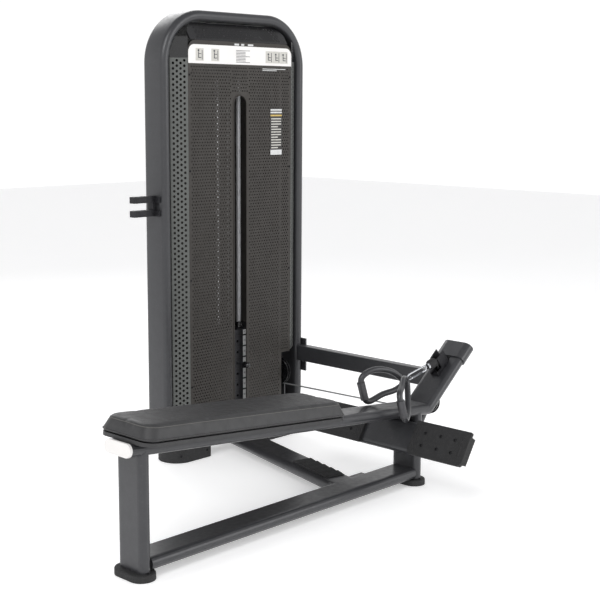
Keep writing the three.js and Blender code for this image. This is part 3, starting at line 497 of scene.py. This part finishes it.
def grille():
    """The leaning perforated panel at the tower's head, with a plain rim and plain ends."""
    inset, rim, thick = 0.034, 0.008, 0.0025
    pitch, row, hole = 0.0165, 0.0098, 0.0042
    end_height = 0.040
    lo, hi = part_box("top_grille")
    bottom = Vector((lo.x, lo.y, lo.z))
    rise = Vector((0, hi.y - lo.y - 0.002, hi.z - lo.z - 0.001))
    slope = rise.normalized()
    out = X_.cross(slope)
    out = out if out.y < 0 else -out
    height = rise.length
    s = Solid()
    start = bottom + X_ * inset + slope * rim
    width = hi.x - lo.x - 2 * inset
    perforated(s, start, X_, slope, out, width, height - 2 * rim, pitch, row, hole, thick)
    for z0, z1 in ((0, rim), (height - rim, height)):
        ring = [bottom + X_ * inset + slope * z0, bottom + X_ * inset + slope * z1]
        ring += [ring[1] - out * thick, ring[0] - out * thick]
        s.rings([ring, [v + X_ * width for v in ring]])
    ends = ((0, inset, end_height, height), (inset + width, hi.x - lo.x, height, end_height))
    for x0, x1, high0, high1 in ends:
        a, b = bottom + X_ * x0, bottom + X_ * x1
        ring = [a, b, b + slope * high1, a + slope * high0]
        s.rings([ring, [v - out * thick for v in ring]])
    s.make("grille_sheet", BLACK, node="top_grille", slot="strip_paint", smooth=30)


grille()


# ---- tower details ----
def prints():
    """Generic exercise diagrams on the placard, and a small dark label with pale and amber lines."""
    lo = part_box("placard")[0]
    y = lo.y - 0.0001
    ink, tint, light, label = Solid(), Solid(), Solid(), Solid()

    def block(solid, x, z, w, h, t=0.0006):
        solid.box((x, y - t, z), (x + w, y, z + h))

    def figure(x, tall):
        """A plain stick figure beside an upright."""
        block(tint, x - 0.004, lo.z + 0.010, 0.040, 0.046)
        head = [(0, 0), (0, 0.0040), (0.0006, 0.0040), (0.0006, 0)]
        ink.lathe((x + 0.010, y - 0.0006, lo.z + tall), OUT, head, 16)
        block(ink, x + 0.0085, lo.z + 0.022, 0.0034, tall - 0.027, 0.0010)
        block(ink, x + 0.0085, lo.z + 0.020, 0.015, 0.0030, 0.0010)
        block(ink, x + 0.0120, lo.z + tall - 0.014, 0.012, 0.0026, 0.0010)
        block(ink, x + 0.0270, lo.z + 0.014, 0.0026, 0.036, 0.0010)

    for x in (0.040, 0.120):
        figure(lo.x + x, 0.048)
    for x in (0.410, 0.452, 0.494):
        figure(lo.x + x, 0.044)
    for i in range(9):
        block(ink, lo.x + 0.245, lo.z + 0.008 + i * 0.0056, 0.050 if i % 4 else 0.074, 0.0018, 0.0006)
    printed = FRONT - 0.0004
    for i, wide in enumerate((0.024, 0.016, 0.0288)):
        x = lo.x + 0.238 + i * 0.036
        light.box((x, printed, 1.6155), (x + wide, FRONT + 0.0002, 1.6225))
    for i, z in enumerate((1.5285, 1.5225)):
        light.box((lo.x + 0.390, printed, z), (lo.x + 0.520 - i * 0.05, FRONT + 0.0002, z + 0.0025))
    ink.make("placard_ink", INK, slot="white_plastic")
    tint.make("placard_tint", TINT, slot="white_plastic")
    x0 = cover_hi.x - 0.120
    face, proud = FRONT - 0.0008, FRONT - 0.0011
    label.box((x0, face, 1.188), (x0 + 0.068, FRONT - 0.0002, 1.376))
    label.make("rating_label", DARK_LABEL, slot="iron", bevel=0.0003)
    faint = Solid()
    for i in range(12):
        wide = 0.056 if i % 4 else 0.038
        z = 1.216 + i * 0.0105
        faint.box((x0 + 0.006, proud, z), (x0 + 0.006 + wide, face, z + 0.0045))
    faint.make("rating_lines", TINT, slot="iron")
    for z0, z1 in ((1.190, 1.210), (1.356, 1.362), (1.366, 1.372)):
        light.box((x0 + 0.002, proud, z0), (x0 + 0.066, face, z1))
    light.make("pale_prints", LABEL, slot="white_plastic")
    amber = Solid().box((x0 + 0.002, proud, 1.344), (x0 + 0.066, face, 1.350))
    amber.make("rating_stripe", AMBER, slot="white_plastic")


prints()


def ring_and_hood():
    """The tower's closed loop of flat-oval tube, and the dark panel behind the grille."""
    lo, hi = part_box("tower_ring")
    half_y, half_t = (hi.y - lo.y) / 2, 0.020
    head_r, floor_r = 0.18, 0.14
    mid_y = (lo.y + hi.y) / 2
    x0, x1, z0, z1 = lo.x + half_t, hi.x - half_t, lo.z + half_t, hi.z - half_t
    corners = [(x1 - head_r, z1 - head_r, head_r, 0), (x0 + head_r, z1 - head_r, head_r, 90),
               (x0 + floor_r, z0 + floor_r, floor_r, 180), (x1 - floor_r, z0 + floor_r, floor_r, 270)]
    path = []
    for cx_, cz, r, a0 in corners:
        for k in range(25):
            a = math.radians(a0 + 90 * k / 24)
            path.append((cx_ + r * math.cos(a), cz + r * math.sin(a), math.cos(a), math.sin(a)))
    oval = []
    for k in range(13):
        a = -math.pi / 2 + math.pi * k / 12
        oval.append((half_y - half_t + half_t * math.cos(a), half_t * math.sin(a)))
    oval += [(-y, -t) for y, t in oval]
    rings = [[(x + nx * t, mid_y + y, z + nz * t) for y, t in oval] for x, z, nx, nz in path]
    tube = Solid().rings(rings, closed=True)
    tube.make("ring_tube", PAINT, node="tower_ring", slot="frame_paint", smooth=50)
    outline = []
    inner = 0.158
    for cx_, a0 in ((x1 - head_r, 0), (x0 + head_r, 90)):
        for k in range(13):
            a = math.radians(a0 + 90 * k / 12)
            outline.append((cx_ + inner * math.cos(a), z1 - head_r + inner * math.sin(a)))
    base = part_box("rear_shell")[1].z - 0.03
    outline = [(outline[0][0], base)] + outline + [(outline[-1][0], base)]
    y = hi.y - 0.026
    hood = Solid().rings([[(x, y, z) for x, z in outline], [(x, y + 0.002, z) for x, z in outline]])
    hood.make("hood_panel", BLACK, slot="black_plastic")


ring_and_hood()


def tower_fixings():
    """Screws of the cover, the shell and the boots, the shell's ribs, and the hook's rubber bands."""
    s = Solid()
    for z in (0.30, 0.72, 1.14, 1.50):
        for x in (cover_lo.x + 0.007, cover_hi.x - 0.007):
            if z > PASSAGE_TOP or x < 0.3:
                s.screw((x, FRONT, z), OUT, 0.0042)
    s.make("cover_screws", DARK_BOLT, slot="iron")
    shell_lo, shell_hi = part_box("rear_shell")
    rear = Solid()
    for z in np.linspace(shell_lo.z + 0.06, shell_hi.z - 0.06, 6):
        for x in (cover_lo.x + 0.012, cover_hi.x - 0.012):
            rear.screw((x, shell_hi.y - 0.0026, z), Y_, 0.0055)
    rear.make("shell_screws", DARK_BOLT, slot="iron")
    ribs = Solid()
    for x in np.linspace(cover_lo.x + 0.08, cover_hi.x - 0.08, 5):
        z0, z1 = shell_lo.z + 0.10, shell_hi.z - 0.10
        y = shell_hi.y - 0.0037
        line = [(x, y - 0.0015, z0), (x, y, z0 + 0.01), (x, y, z1 - 0.01), (x, y - 0.0015, z1)]
        ribs.tube(line, 0.0045, 12)
    ribs.make("shell_ribs", COVER, slot="cover_paint")
    boots = Solid()
    for side in ("left", "right"):
        lo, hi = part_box(f"tower_boot_{side}")
        for x in (lo.x + 0.03, hi.x - 0.03):
            boots.screw((x, lo.y, 0.03), OUT, 0.006)
            boots.screw((x, hi.y, 0.03), Y_, 0.006)
    boots.make("boot_screws", DARK_BOLT, slot="iron")
    lo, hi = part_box("accessory_hook")
    bands = Solid()
    for z in (0.984, 1.036):
        mid = (lo.y + hi.y) / 2 + 0.012
        for x in (lo.x + 0.010, lo.x + 0.050):
            square = ((-1, -1), (1, -1), (1, 1), (-1, 1))
            ring = [(x, mid + 0.0146 * a, z + 0.0126 * b) for a, b in square]
            bands.rings([ring, [(x + 0.008, v[1], v[2]) for v in ring]])
    bands.make("hook_bands", RUBBER, slot="rubber", bevel=0.002)


tower_fixings()


def stack_marks():
    """Pale number plates on the stack's front with their digits, the rod collars, and the selector pin."""
    top_of_slot_view = 0.4895
    for i, name in enumerate(["head_plate"] + [f"weight_plate_{n:02d}" for n in range(1, 9)]):
        body = "stack" if i < 4 else "frame"
        lo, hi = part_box(name)
        mid = (lo.x + hi.x) / 2
        s = Solid()
        top = min(hi.z, top_of_slot_view)
        s.box((mid + 0.030, lo.y - 0.0009, lo.z + 0.003), (mid + 0.046, lo.y - 0.0001, top - 0.003))
        s.make(f"number_tag_{i}", LABEL, body, slot="white_plastic", bevel=0.0008)
        text = bpy.data.curves.new(f"number_{i}", "FONT")
        text.body = str(5 + 10 * i)
        text.size = 0.0105
        text.extrude = 0.0003
        text.align_x, text.align_y = "CENTER", "CENTER"
        text.materials.append(INK)
        obj = bpy.data.objects.new(f"number_{i}", text)
        place = Matrix.Translation((mid + 0.038, lo.y - 0.0011, (lo.z + top) / 2))
        obj.matrix_world = place @ Matrix.Rotation(math.pi / 2, 4, "X")
        scene.collection.objects.link(obj)
        bpy.context.view_layer.update()
        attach(obj, body)
    collars = Solid()
    for rod in ("left", "right"):
        lo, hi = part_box(f"guide_rod_{rod}")
        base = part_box("head_plate")[0].z + 0.0250
        ring = [(base, 0.0125), (base + 0.022, 0.0125), (base + 0.022, 0.0185)]
        ring += [(base + 0.004, 0.0185), (base, 0.0215)]
        collars.washer(((lo.x + hi.x) / 2, (lo.y + hi.y) / 2, 0), Z, ring, 40)
    collars.make("guide_collars", BLACK, "stack", slot="black_plastic", smooth=40)
    pin_lo, pin_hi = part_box("selector_pin")
    c = (pin_lo + pin_hi) / 2
    pin = Solid()
    knob = [(0, 0), (0, 0.0085), (0.003, 0.0115), (0.010, 0.0130), (0.026, 0.0120)]
    knob += [(0.033, 0.0095), (0.036, 0.0045), (0.036, 0)]
    pin.lathe((c.x, pin_lo.y + 0.036, c.z), OUT, knob, 40)
    pin.make("pin_knob", BLACK, "pin", slot="black_plastic", node="selector_pin", smooth=45)
    shaft = [(0, 0), (0, 0.0042), (0.093, 0.0042), (0.098, 0.0025), (0.098, 0)]
    shank = Solid().lathe((c.x, pin_lo.y + 0.035, c.z), Y_, shaft, 24)
    shank.make("pin_shank", STEEL, "pin", slot="steel")


stack_marks()


# ---- pulleys and cables ----
PULLEYS = {"top_pulley_stack": "wheel_top_stack", "top_pulley_drop": "wheel_top_drop",
           "tower_low_pulley": "wheel_tower_low", "mast_low_pulley": "wheel_mast_low",
           "mast_top_pulley": "wheel_mast_top"}
# The radius of the cable's centre line on each pulley, and of the cable itself.
CABLE_R = {"top_pulley_stack": 0.050, "top_pulley_drop": 0.050, "tower_low_pulley": 0.050,
           "mast_low_pulley": 0.035, "mast_top_pulley": 0.030}
ROPE_R = 0.003
joint_of = {j["child"]: j for j in frame["joints"]}


def pulleys():
    """Grooved wheels with a thin web, five spokes and a steel seal on each face."""
    for node, body in PULLEYS.items():
        joint = joint_of[body]
        centre, axis = Vector(joint["pos_m"]), Vector(joint["axis"]).normalized()
        r = CABLE_R[node]
        rim, floor, h, bore = r + 0.006, r - 0.0038, 0.008, 0.0074
        web, hub = r - 0.012, 0.0145
        profile = [(-h, bore), (-h, hub), (-0.0035, hub + 0.002), (-0.0035, web - 0.002),
                   (-h + 0.001, web + 0.002), (-h, rim - 0.001), (-h + 0.0012, rim),
                   (-h + 0.0024, rim - 0.0006)]
        g = 0.0036
        groove = [(-g * math.cos(a), floor + g - g * math.sin(a)) for a in np.linspace(0, math.pi, 11)]
        profile += groove
        profile += [(-a, b) for a, b in reversed(profile[:8])]
        wheel = Solid().washer(centre, axis, profile, 72)
        wheel.make(f"{node}_wheel", BLACK, body, node=node, slot="black_plastic", smooth=40)
        spokes = Solid()
        side, other = frame_of(axis)
        for i in range(5):
            angle = 2 * math.pi * i / 5
            out = side * math.cos(angle) + other * math.sin(angle)
            along = axis.cross(out)
            a, b = centre + out * (hub + 0.001), centre + out * (web + 0.001)
            corners = [a - along * 0.0024, a + along * 0.0024, b + along * 0.0018, b - along * 0.0018]
            spokes.rings([[v - axis * 0.0062 for v in corners], [v + axis * 0.0062 for v in corners]])
        spokes.make(f"{node}_spokes", BLACK, body, slot="black_plastic")
        caps = Solid()
        for s in (-1, 1):
            low, high = h - 0.0006, h + 0.0002
            caps.washer(centre, axis * s, [(low, bore), (high, bore), (high, 0.0125), (low, 0.0125)], 40)
        caps.make(f"{node}_seals", STEEL, body, slot="steel")


pulleys()


def turn(centre, axis, r, t1, t2, steps=14):
    """Points round a pulley, from where the cable arrives along t1 to where it leaves along t2."""
    axis, t1, t2 = (Vector(v).normalized() for v in (axis, t1, t2))
    angle = t1.angle(t2)
    first = t1.cross(axis) * r
    return [centre + Quaternion(axis, angle * i / steps) @ first for i in range(steps + 1)]


def drive_route():
    """The cable's centre line, pulley to pulley, from the joints' own centres and axes."""
    place = {n: Vector(joint_of[b]["pos_m"]) for n, b in PULLEYS.items()}
    axis = {n: Vector(joint_of[b]["axis"]).normalized() for n, b in PULLEYS.items()}
    low, mast, top = place["tower_low_pulley"], place["mast_low_pulley"], place["mast_top_pulley"]
    run = axis["tower_low_pulley"].cross(Z) * -1
    run = run if run.y < 0 else -run
    rise = axis["mast_low_pulley"].cross(run)
    drop = 0.29  # the hand end's fall from level, in radians
    leave = Vector((-math.cos(drop), 0, -math.sin(drop)))
    points = turn(place["top_pulley_stack"], axis["top_pulley_stack"], CABLE_R["top_pulley_stack"], Z, X_)
    points += turn(place["top_pulley_drop"], axis["top_pulley_drop"], CABLE_R["top_pulley_drop"], X_, -Z)
    points += turn(low, axis["tower_low_pulley"], CABLE_R["tower_low_pulley"], -Z, run)
    r_low, r_top = CABLE_R["mast_low_pulley"], CABLE_R["mast_top_pulley"]
    last = top + leave.cross(axis["mast_top_pulley"]) * r_top
    # The rise touches both mast pulleys, in the plane that the low pulley's axis sets.
    for _ in range(8):
        a = mast + rise.cross(axis["mast_low_pulley"]) * r_low
        b = top + rise.cross(axis["mast_top_pulley"]) * r_top
        rise = (b - a).normalized()
    points += turn(mast, axis["mast_low_pulley"], r_low, run, rise)
    points += turn(top, axis["mast_top_pulley"], r_top, rise, leave)
    return points, last, leave


def resample(points, step):
    """The same line with long straights split, so that no segment is much longer than step."""
    out = [points[0]]
    for a, b in zip(points, points[1:]):
        n = max(1, int((b - a).length / step))
        out += [a.lerp(b, (i + 1) / n) for i in range(n)]
    return out


route, line_start, line_dir = drive_route()
drive = Solid().tube(resample(route, 0.12), ROPE_R, 14)
drive.make("drive_cable_line", CABLE, node="drive_cable", slot="iron", smooth=70)

lo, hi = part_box("stack_cable")
cx, cy = (lo.x + hi.x) / 2, (lo.y + hi.y) / 2
rising = Solid().tube([(cx, cy, z) for z in np.linspace(lo.z, hi.z, 60)], ROPE_R, 14)
rising_obj = rising.make("stack_cable_line", CABLE, None, node="stack_cable", slot="iron", smooth=70)
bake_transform(rising_obj)


# ---- the hand end of the line ----
# Where the stopper starts and ends, along the cable from the mast pulley.
STOP_NEAR, STOP_FAR = 0.037, 0.090
EYE = Vector(joint_of["handle"]["pos_m"])
spots = np.linspace(0.0013, STOP_NEAR - 0.0003, 24)
tail = Solid().tube([line_start + line_dir * d for d in spots], ROPE_R, 14)
tail_obj = tail.make("handle_cable_line", CABLE, None, node="handle_cable", slot="iron", smooth=70)
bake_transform(tail_obj)


def hand_end():
    """The rubber stopper with its ferrule, and the snap hook."""
    s = Solid()
    start = line_start + line_dir * STOP_NEAR
    profile = [(0, 0), (0, 0.0085), (0.0012, 0.0098), (0.003, 0.0135), (0.006, 0.0165), (0.012, 0.0185)]
    profile += [(0.030, 0.0188), (0.038, 0.0165), (0.044, 0.0122), (0.048, 0.0096), (0.051, 0.0070)]
    profile += [(0.053, 0.0066), (0.053, 0)]
    s.lathe(start, line_dir, profile, 48)
    s.make("stopper_ball", RUBBER, "handle_line", node="cable_stopper", slot="rubber", smooth=40)
    cone = [(0.0445, 0.0122), (0.0505, 0.0092), (0.0505, 0.0104), (0.0450, 0.0134)]
    ferrule = Solid().washer(start, line_dir, cone, 40)
    ferrule.make("stopper_ferrule", STEEL, "handle_line", slot="steel")
    # Snap hook: a closed oval with a sprung gate between its pin and its nose.
    begin = line_start + line_dir * (STOP_FAR + 0.0036)
    span = EYE - begin
    length = span.length
    along = span.normalized()
    rise = Vector((-along.z, 0, along.x))
    half = 0.010
    loop = []
    for i in range(17):
        a = math.pi / 2 + i * math.pi / 16
        loop.append((half + half * math.cos(a), half * math.sin(a)))
    for i in range(1, 8):
        loop.append((half + (length - half) * i / 8, -half))
    for i in range(17):
        a = -math.pi / 2 + i * math.pi / 16
        loop.append((length + half * math.cos(a), half * math.sin(a)))
    for i in range(1, 8):
        loop.append((length - (length - half) * i / 8, half))
    points = [begin + along * a + rise * b for a, b in loop]
    hook = Solid().tube(points, 0.0031, 18, closed=True)
    hook.make("hook_body", STEEL, "handle_line", node="snap_hook", slot="steel", smooth=70)
    gate = Solid()
    a, b = begin + along * (length * 0.28) + rise * half, begin + along * (length * 0.82) + rise * half
    reach = (b - a).length
    sleeve = [(0, 0), (0, 0.0036), (0.0008, 0.0042), (reach - 0.001, 0.0042), (reach, 0.0036), (reach, 0)]
    gate.lathe(a, b - a, sleeve, 28)
    rivet = [(0, 0), (0, 0.0014), (0.0004, 0.0018), (0.0084, 0.0018), (0.0088, 0.0014), (0.0088, 0)]
    for end in (a, b):
        gate.lathe(end - Y_ * 0.0044, Y_, rivet, 16)
    gate.make("hook_gate", BOLT, "handle_line", slot="steel", smooth=45)


hand_end()


# ---- close-grip handle ----
HUB = at(1285, 0, 397)
GRIPS = {"left": at(1098, 54, 371), "right": at(1125, -108, 327)}
GRIP_DIR = Vector((-0.2, 0.14, 0.96)).normalized()
GRIP_HALF = 0.042


def catmull(points, per=7):
    """A smooth closed line through the points."""
    out = []
    n = len(points)
    for i in range(n):
        p0, p1, p2, p3 = (points[(i + k - 1) % n] for k in range(4))
        t1 = (p1 - p0).length ** 0.5
        t2 = t1 + (p2 - p1).length ** 0.5
        t3 = t2 + (p3 - p2).length ** 0.5
        for k in range(per):
            t = t1 + (t2 - t1) * k / per
            a1 = p0 * ((t1 - t) / t1) + p1 * (t / t1)
            a2 = p1 * ((t2 - t) / (t2 - t1)) + p2 * ((t - t1) / (t2 - t1))
            a3 = p2 * ((t3 - t) / (t3 - t2)) + p3 * ((t - t2) / (t3 - t2))
            b1 = a1 * ((t2 - t) / t2) + a2 * (t / t2)
            b2 = a2 * ((t3 - t) / (t3 - t1)) + a3 * ((t - t1) / (t3 - t1))
            out.append(b1 * ((t2 - t) / (t2 - t1)) + b2 * ((t - t1) / (t2 - t1)))
    return out


def handle():
    """Two closed loops of round bar that meet at the hub, each with a knurled grip, and the hub's ring."""
    bar_r, grip_r, ridge_h = 0.0110, 0.0138, 0.00035
    ring_r = 0.013
    bars = Solid()
    knurls = Solid()
    for centre in GRIPS.values():
        out = centre - HUB
        across = out - GRIP_DIR * out.dot(GRIP_DIR)
        reach = across.length
        across.normalize()
        offset = out.dot(GRIP_DIR)

        def spot(a, b):
            return HUB + across * a + GRIP_DIR * b

        top, bottom = offset + GRIP_HALF, offset - GRIP_HALF
        points = [spot(0.020, -0.004), spot(reach * 0.3, offset * 0.4 + 0.038),
                  spot(reach * 0.66, offset + 0.058), spot(reach - 0.012, top + 0.008),
                  spot(reach, top - 0.012), spot(reach, bottom + 0.012),
                  spot(reach - 0.012, bottom - 0.003), spot(reach * 0.6, offset - 0.041),
                  spot(reach * 0.3, offset * 0.4 - 0.032), spot(0.020, -0.012)]
        bars.tube(catmull(points), bar_r, 24, closed=True)
        # The grip is knurled: two crossing sets of fine spiral ridges.
        sides, steps, grip = 96, 72, 0.060
        side, other = frame_of(GRIP_DIR)
        rings = []
        for i in range(steps + 1):
            w = i / steps
            ring = []
            for j in range(sides):
                a = 2 * math.pi * j / sides
                ridge = abs(math.sin(a * 12 + w * 42)) + abs(math.sin(a * 12 - w * 42))
                fade = min(1, min(w, 1 - w) * 18)
                r = grip_r + ridge_h * ridge * fade
                radial = side * math.cos(a) + other * math.sin(a)
                ring.append(centre + GRIP_DIR * (w - 0.5) * grip + radial * r)
            rings.append(ring)
        knurls.rings(rings)
        for end in (-1, 1):
            knurls.lathe(centre + GRIP_DIR * grip / 2 * end, GRIP_DIR * end,
                         [(-0.001, 0), (-0.001, 0.0148), (0.0015, 0.0152), (0.0040, 0.0128), (0.0040, 0)], 40)
    middle = ((GRIPS["left"] + GRIPS["right"]) / 2 - HUB).normalized()
    barrel = [(0, 0), (0, 0.0095), (0.002, 0.0118), (0.022, 0.0118), (0.026, 0.009), (0.026, 0)]
    bars.lathe(HUB + middle * 0.010, middle, barrel, 32)
    angles = np.linspace(0, 2 * math.pi, 33)[:-1]
    ring = [EYE + X_ * ring_r * (math.cos(a) - 1) + Y_ * ring_r * math.sin(a) for a in angles]
    bars.tube(ring, 0.0040, 16, closed=True)
    bars.make("handle_bars", PAINT, "handle", node="row_handle", slot="frame_paint", smooth=60)
    knurls.make("handle_grips", KNURL, "handle", slot="steel", smooth=50)


handle()


# ---- foot bar ----
def foot_pads():
    """The rubber pads on the leaning foot bar, with ribs at their ends and screws between."""
    lean = 0.57
    origin = at(1200, 0, 203)
    turn_bar = Matrix.Rotation(lean, 4, "Y")
    outward = turn_bar @ Vector((-1, 0, 0))
    upward = turn_bar @ Z
    screws = Solid()
    for side, sign in (("left", 1), ("right", -1)):
        node = nodes[f"foot_pad_{side}"]
        offsets = [v.co - origin for v in node.data.vertices]
        local = np.array([(v.dot(upward), v.y, v.dot(outward)) for v in offsets])
        height = (local[:, 0].min(), local[:, 0].max())
        span = (local[:, 1].min(), local[:, 1].max())
        depth = local[:, 2].max()
        inner, outer = (span[0], span[1]) if sign > 0 else (span[1], span[0])
        copy = node.data.copy()
        copy.name = f"foot_pad_{side}_skin"
        copy.materials.clear()
        copy.materials.append(RUBBER)
        pad = bpy.data.objects.new(f"foot_pad_{side}_skin", copy)
        scene.collection.objects.link(pad)
        shade(copy, 40)
        soften(pad, 0.0035, 40, 3)
        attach(pad, "frame")
        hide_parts(f"foot_pad_{side}")
        # Ribs at both ends of the pad's face, and six screws between them.
        ribs = Solid()
        base = origin + outward * depth
        lo_h, hi_h = height[0] + 0.016, height[1] - 0.016
        for end in (inner + sign * 0.012, outer - sign * 0.040):
            for i in range(3):
                y = end + sign * 0.008 * i
                a = base + upward * lo_h + Y_ * y - outward * 0.0022
                b = base + upward * hi_h + Y_ * y - outward * 0.0022
                raised = outward * 0.0008
                ribs.tube([a, a.lerp(b, 0.02) + raised, a.lerp(b, 0.98) + raised, b], 0.0028, 12)
        ribs.make(f"foot_pad_{side}_ribs", RUBBER, slot="rubber", smooth=50)
        middle = (height[0] + height[1]) / 2
        for fraction in (0.22, 0.5, 0.76):
            y = inner + (outer - inner) * fraction
            for h in (-0.024, 0.024):
                screws.screw(base + upward * (middle + h) + Y_ * y - outward * 0.0004, outward, 0.0060)
    screws.make("foot_pad_screws", DARK_BOLT, slot="iron", smooth=40)


foot_pads()


# ---- bench fixings ----
def bench_fixings():
    """Screws on top of the bench's feet."""
    s = Solid()
    for node in ("rear_foot", "front_foot"):
        lo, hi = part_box(node)
        for y in (lo.y + 0.014, hi.y - 0.014):
            s.screw(((lo.x + hi.x) / 2, y, hi.z), Z, 0.0055)
    s.make("bench_bolts", DARK_BOLT, slot="iron", smooth=40)


bench_fixings()


# ---- seat pad ----
SLOPE = 0.092  # the pad's rise towards the mast, in radians


def seat():
    """The pad is blown up a little against its own shape, then seamed."""
    source = nodes["seat_pad"]
    to_flat = Matrix.Rotation(-SLOPE, 4, "Y")
    to_bench = to_flat.inverted()
    co = np.array([tuple(to_flat @ v.co) for v in source.data.vertices])
    low, high = co.min(0), co.max(0)
    centre = (low + high) / 2
    shrink = 1 - 2 * np.array([0.0015, 0.0015, 0.003]) / (high - low)
    small = (co - centre) * shrink + centre
    small[:, 2] += low[2] - small[:, 2].min()
    mesh = source.data.copy()
    mesh.name = "seat_cushion"
    mesh.vertices.foreach_set("co", small.astype(np.float32).ravel())
    obj = bpy.data.objects.new("seat_cushion", mesh)
    scene.collection.objects.link(obj)

    def applied():
        bpy.context.view_layer.update()
        graph = bpy.context.evaluated_depsgraph_get()
        made = bpy.data.meshes.new_from_object(obj.evaluated_get(graph), depsgraph=graph)
        obj.modifiers.clear()
        obj.data = made

    remesh = obj.modifiers.new("remesh", "REMESH")
    remesh.mode = "VOXEL"
    remesh.voxel_size = 0.0055
    applied()
    rest = np.array([tuple(v.co) for v in obj.data.vertices])
    cloth = obj.modifiers.new("cloth", "CLOTH")
    settings = cloth.settings
    settings.quality = 5
    settings.use_pressure = True
    settings.uniform_pressure_force = 4
    settings.effector_weights.gravity = 0
    settings.tension_stiffness = settings.compression_stiffness = 25
    settings.bending_stiffness = 4
    last_frame = 20
    cloth.point_cache.frame_start, cloth.point_cache.frame_end = 1, last_frame
    for f in range(1, last_frame + 1):
        scene.frame_set(f)
    applied()
    scene.frame_set(1)
    moved = np.array([tuple(v.co) for v in obj.data.vertices])
    step = moved - rest
    size = np.linalg.norm(step, axis=1, keepdims=True)
    cap = 0.0045  # the most that the simulation may move a point
    moved = rest + step * np.minimum(1, cap / np.maximum(size, 1e-9))
    # The underside lies flat on its board, and the top carries a shallow crown and two worn hollows.
    u = (moved[:, 0] - centre[0]) / (high[0] - low[0]) * 2
    v = (moved[:, 1] - centre[1]) / (high[1] - low[1]) * 2
    w = np.clip((moved[:, 2] - low[2]) / (high[2] - low[2]), 0, 1)
    crown = 0.0022 * (1 - u**4) * (1 - v**2)
    hollow = 0.0020 * np.exp(-((u + 0.45) ** 2) * 9 - v**2 * 3)
    moved[:, 2] += w**2 * (crown - hollow)
    moved[:, 2] = np.clip(moved[:, 2], low[2], high[2] + 0.002)
    back = np.array(to_bench.to_3x3())
    obj.data.vertices.foreach_set("co", (moved @ back.T).astype(np.float32).ravel())
    obj.data.materials.clear()
    obj.data.materials.append(VINYL)
    sub = obj.modifiers.new("smooth", "SUBSURF")
    sub.levels = sub.render_levels = 1
    applied()
    shade(obj.data, 80)
    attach(obj, "frame")
    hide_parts("seat_pad")
    faces = [tuple(p.vertices) for p in obj.data.polygons]
    tree = BVHTree.FromPolygons([v.co for v in obj.data.vertices], faces)
    corner = 0.050

    def outline(height):
        """Points on the pad's skin round its sides at one height."""
        hx, hy = (high[0] - low[0]) / 2 + 0.02, (high[1] - low[1]) / 2 + 0.02
        kx, ky = hx - corner, hy - corner
        corners = [(kx, ky, 0), (-kx, ky, 90), (-kx, -ky, 180), (kx, -ky, 270)]
        flat = []
        for cx_, cy_, a0 in corners:
            for k in range(9):
                a = math.radians(a0 + 90 * k / 8)
                flat.append((cx_ + corner * math.cos(a), cy_ + corner * math.sin(a)))
        dense = []
        for i, p in enumerate(flat):
            q = flat[(i + 1) % len(flat)]
            steps = max(1, int(math.dist(p, q) / 0.012))
            for k in range(steps):
                dense.append((p[0] + (q[0] - p[0]) * k / steps, p[1] + (q[1] - p[1]) * k / steps))
        points = []
        z = low[2] + (high[2] - low[2]) * height
        for x, y in dense:
            start = to_bench @ Vector((centre[0] + x, centre[1] + y, z))
            inside_x = max(-hx + corner + 0.03, min(hx - corner - 0.03, x))
            inside_y = max(-hy + corner + 0.03, min(hy - corner - 0.03, y))
            aim = (to_bench @ Vector((centre[0] + inside_x, centre[1] + inside_y, z)) - start).normalized()
            hit = tree.ray_cast(start, aim)
            if hit[0] is not None:
                points.append(hit[0])
        return points

    top = Solid().tube(outline(0.80), 0.0011, 8, closed=True)
    top.make("seat_top_seam", SEAM, slot="vinyl", smooth=70)
    bottom = Solid().tube(outline(0.16), 0.0024, 10, closed=True)
    bottom.make("seat_piping", VINYL, slot="vinyl", smooth=70)


seat()


# ---- stage and lights ----
def stage():
    """A pale floor that glows a little, so that it stays near white under light from low round the sides."""
    glow = FLOOR.node_tree.nodes["Principled BSDF"].inputs
    glow["Emission Color"].default_value = (1, 1, 1, 1)
    glow["Emission Strength"].default_value = 0.35
    mesh = bpy.data.meshes.new("floor")
    size, level = 14, -0.001
    corners = [(x, y, level) for x, y in ((-size, -size), (size, -size), (size, size), (-size, size))]
    mesh.from_pydata(corners, [], [(0, 1, 2, 3)])
    mesh.materials.append(FLOOR)
    floor = bpy.data.objects.new("floor", mesh)
    scene.collection.objects.link(floor)
    world = bpy.data.worlds.new("studio")
    scene.world = world
    world.use_nodes = True
    tree = world.node_tree
    coords = tree.nodes.new("ShaderNodeTexCoord")
    split = tree.nodes.new("ShaderNodeSeparateXYZ")
    ramp = tree.nodes.new("ShaderNodeValToRGB")
    horizon, zenith = ramp.color_ramp.elements
    horizon.position, zenith.position = 0.15, 0.75
    horizon.color, zenith.color = (1, 1, 1, 1), (0.42, 0.42, 0.43, 1)
    tree.links.new(coords.outputs["Generated"], split.inputs["Vector"])
    tree.links.new(split.outputs["Z"], ramp.inputs["Fac"])
    tree.links.new(ramp.outputs["Color"], tree.nodes["Background"].inputs["Color"])
    tree.nodes["Background"].inputs["Strength"].default_value = 1.05

    def area(name, place, aim, size, power):
        data = bpy.data.lights.new(name, "AREA")
        data.size = size
        data.energy = power
        light = bpy.data.objects.new(name, data)
        light.location = place
        light.rotation_mode = "QUATERNION"
        light.rotation_quaternion = (Vector(aim) - Vector(place)).to_track_quat("-Z", "Y")
        scene.collection.objects.link(light)

    area("key", (-3.2, -1.6, 4.2), (0, 0, 0.6), 2.6, 95)
    area("fill", (2.6, -4.2, 2.6), (0, 0, 0.7), 3.0, 60)
    area("rim", (1.5, 3.8, 3.4), (0, 0.2, 0.9), 2.5, 50)


stage()
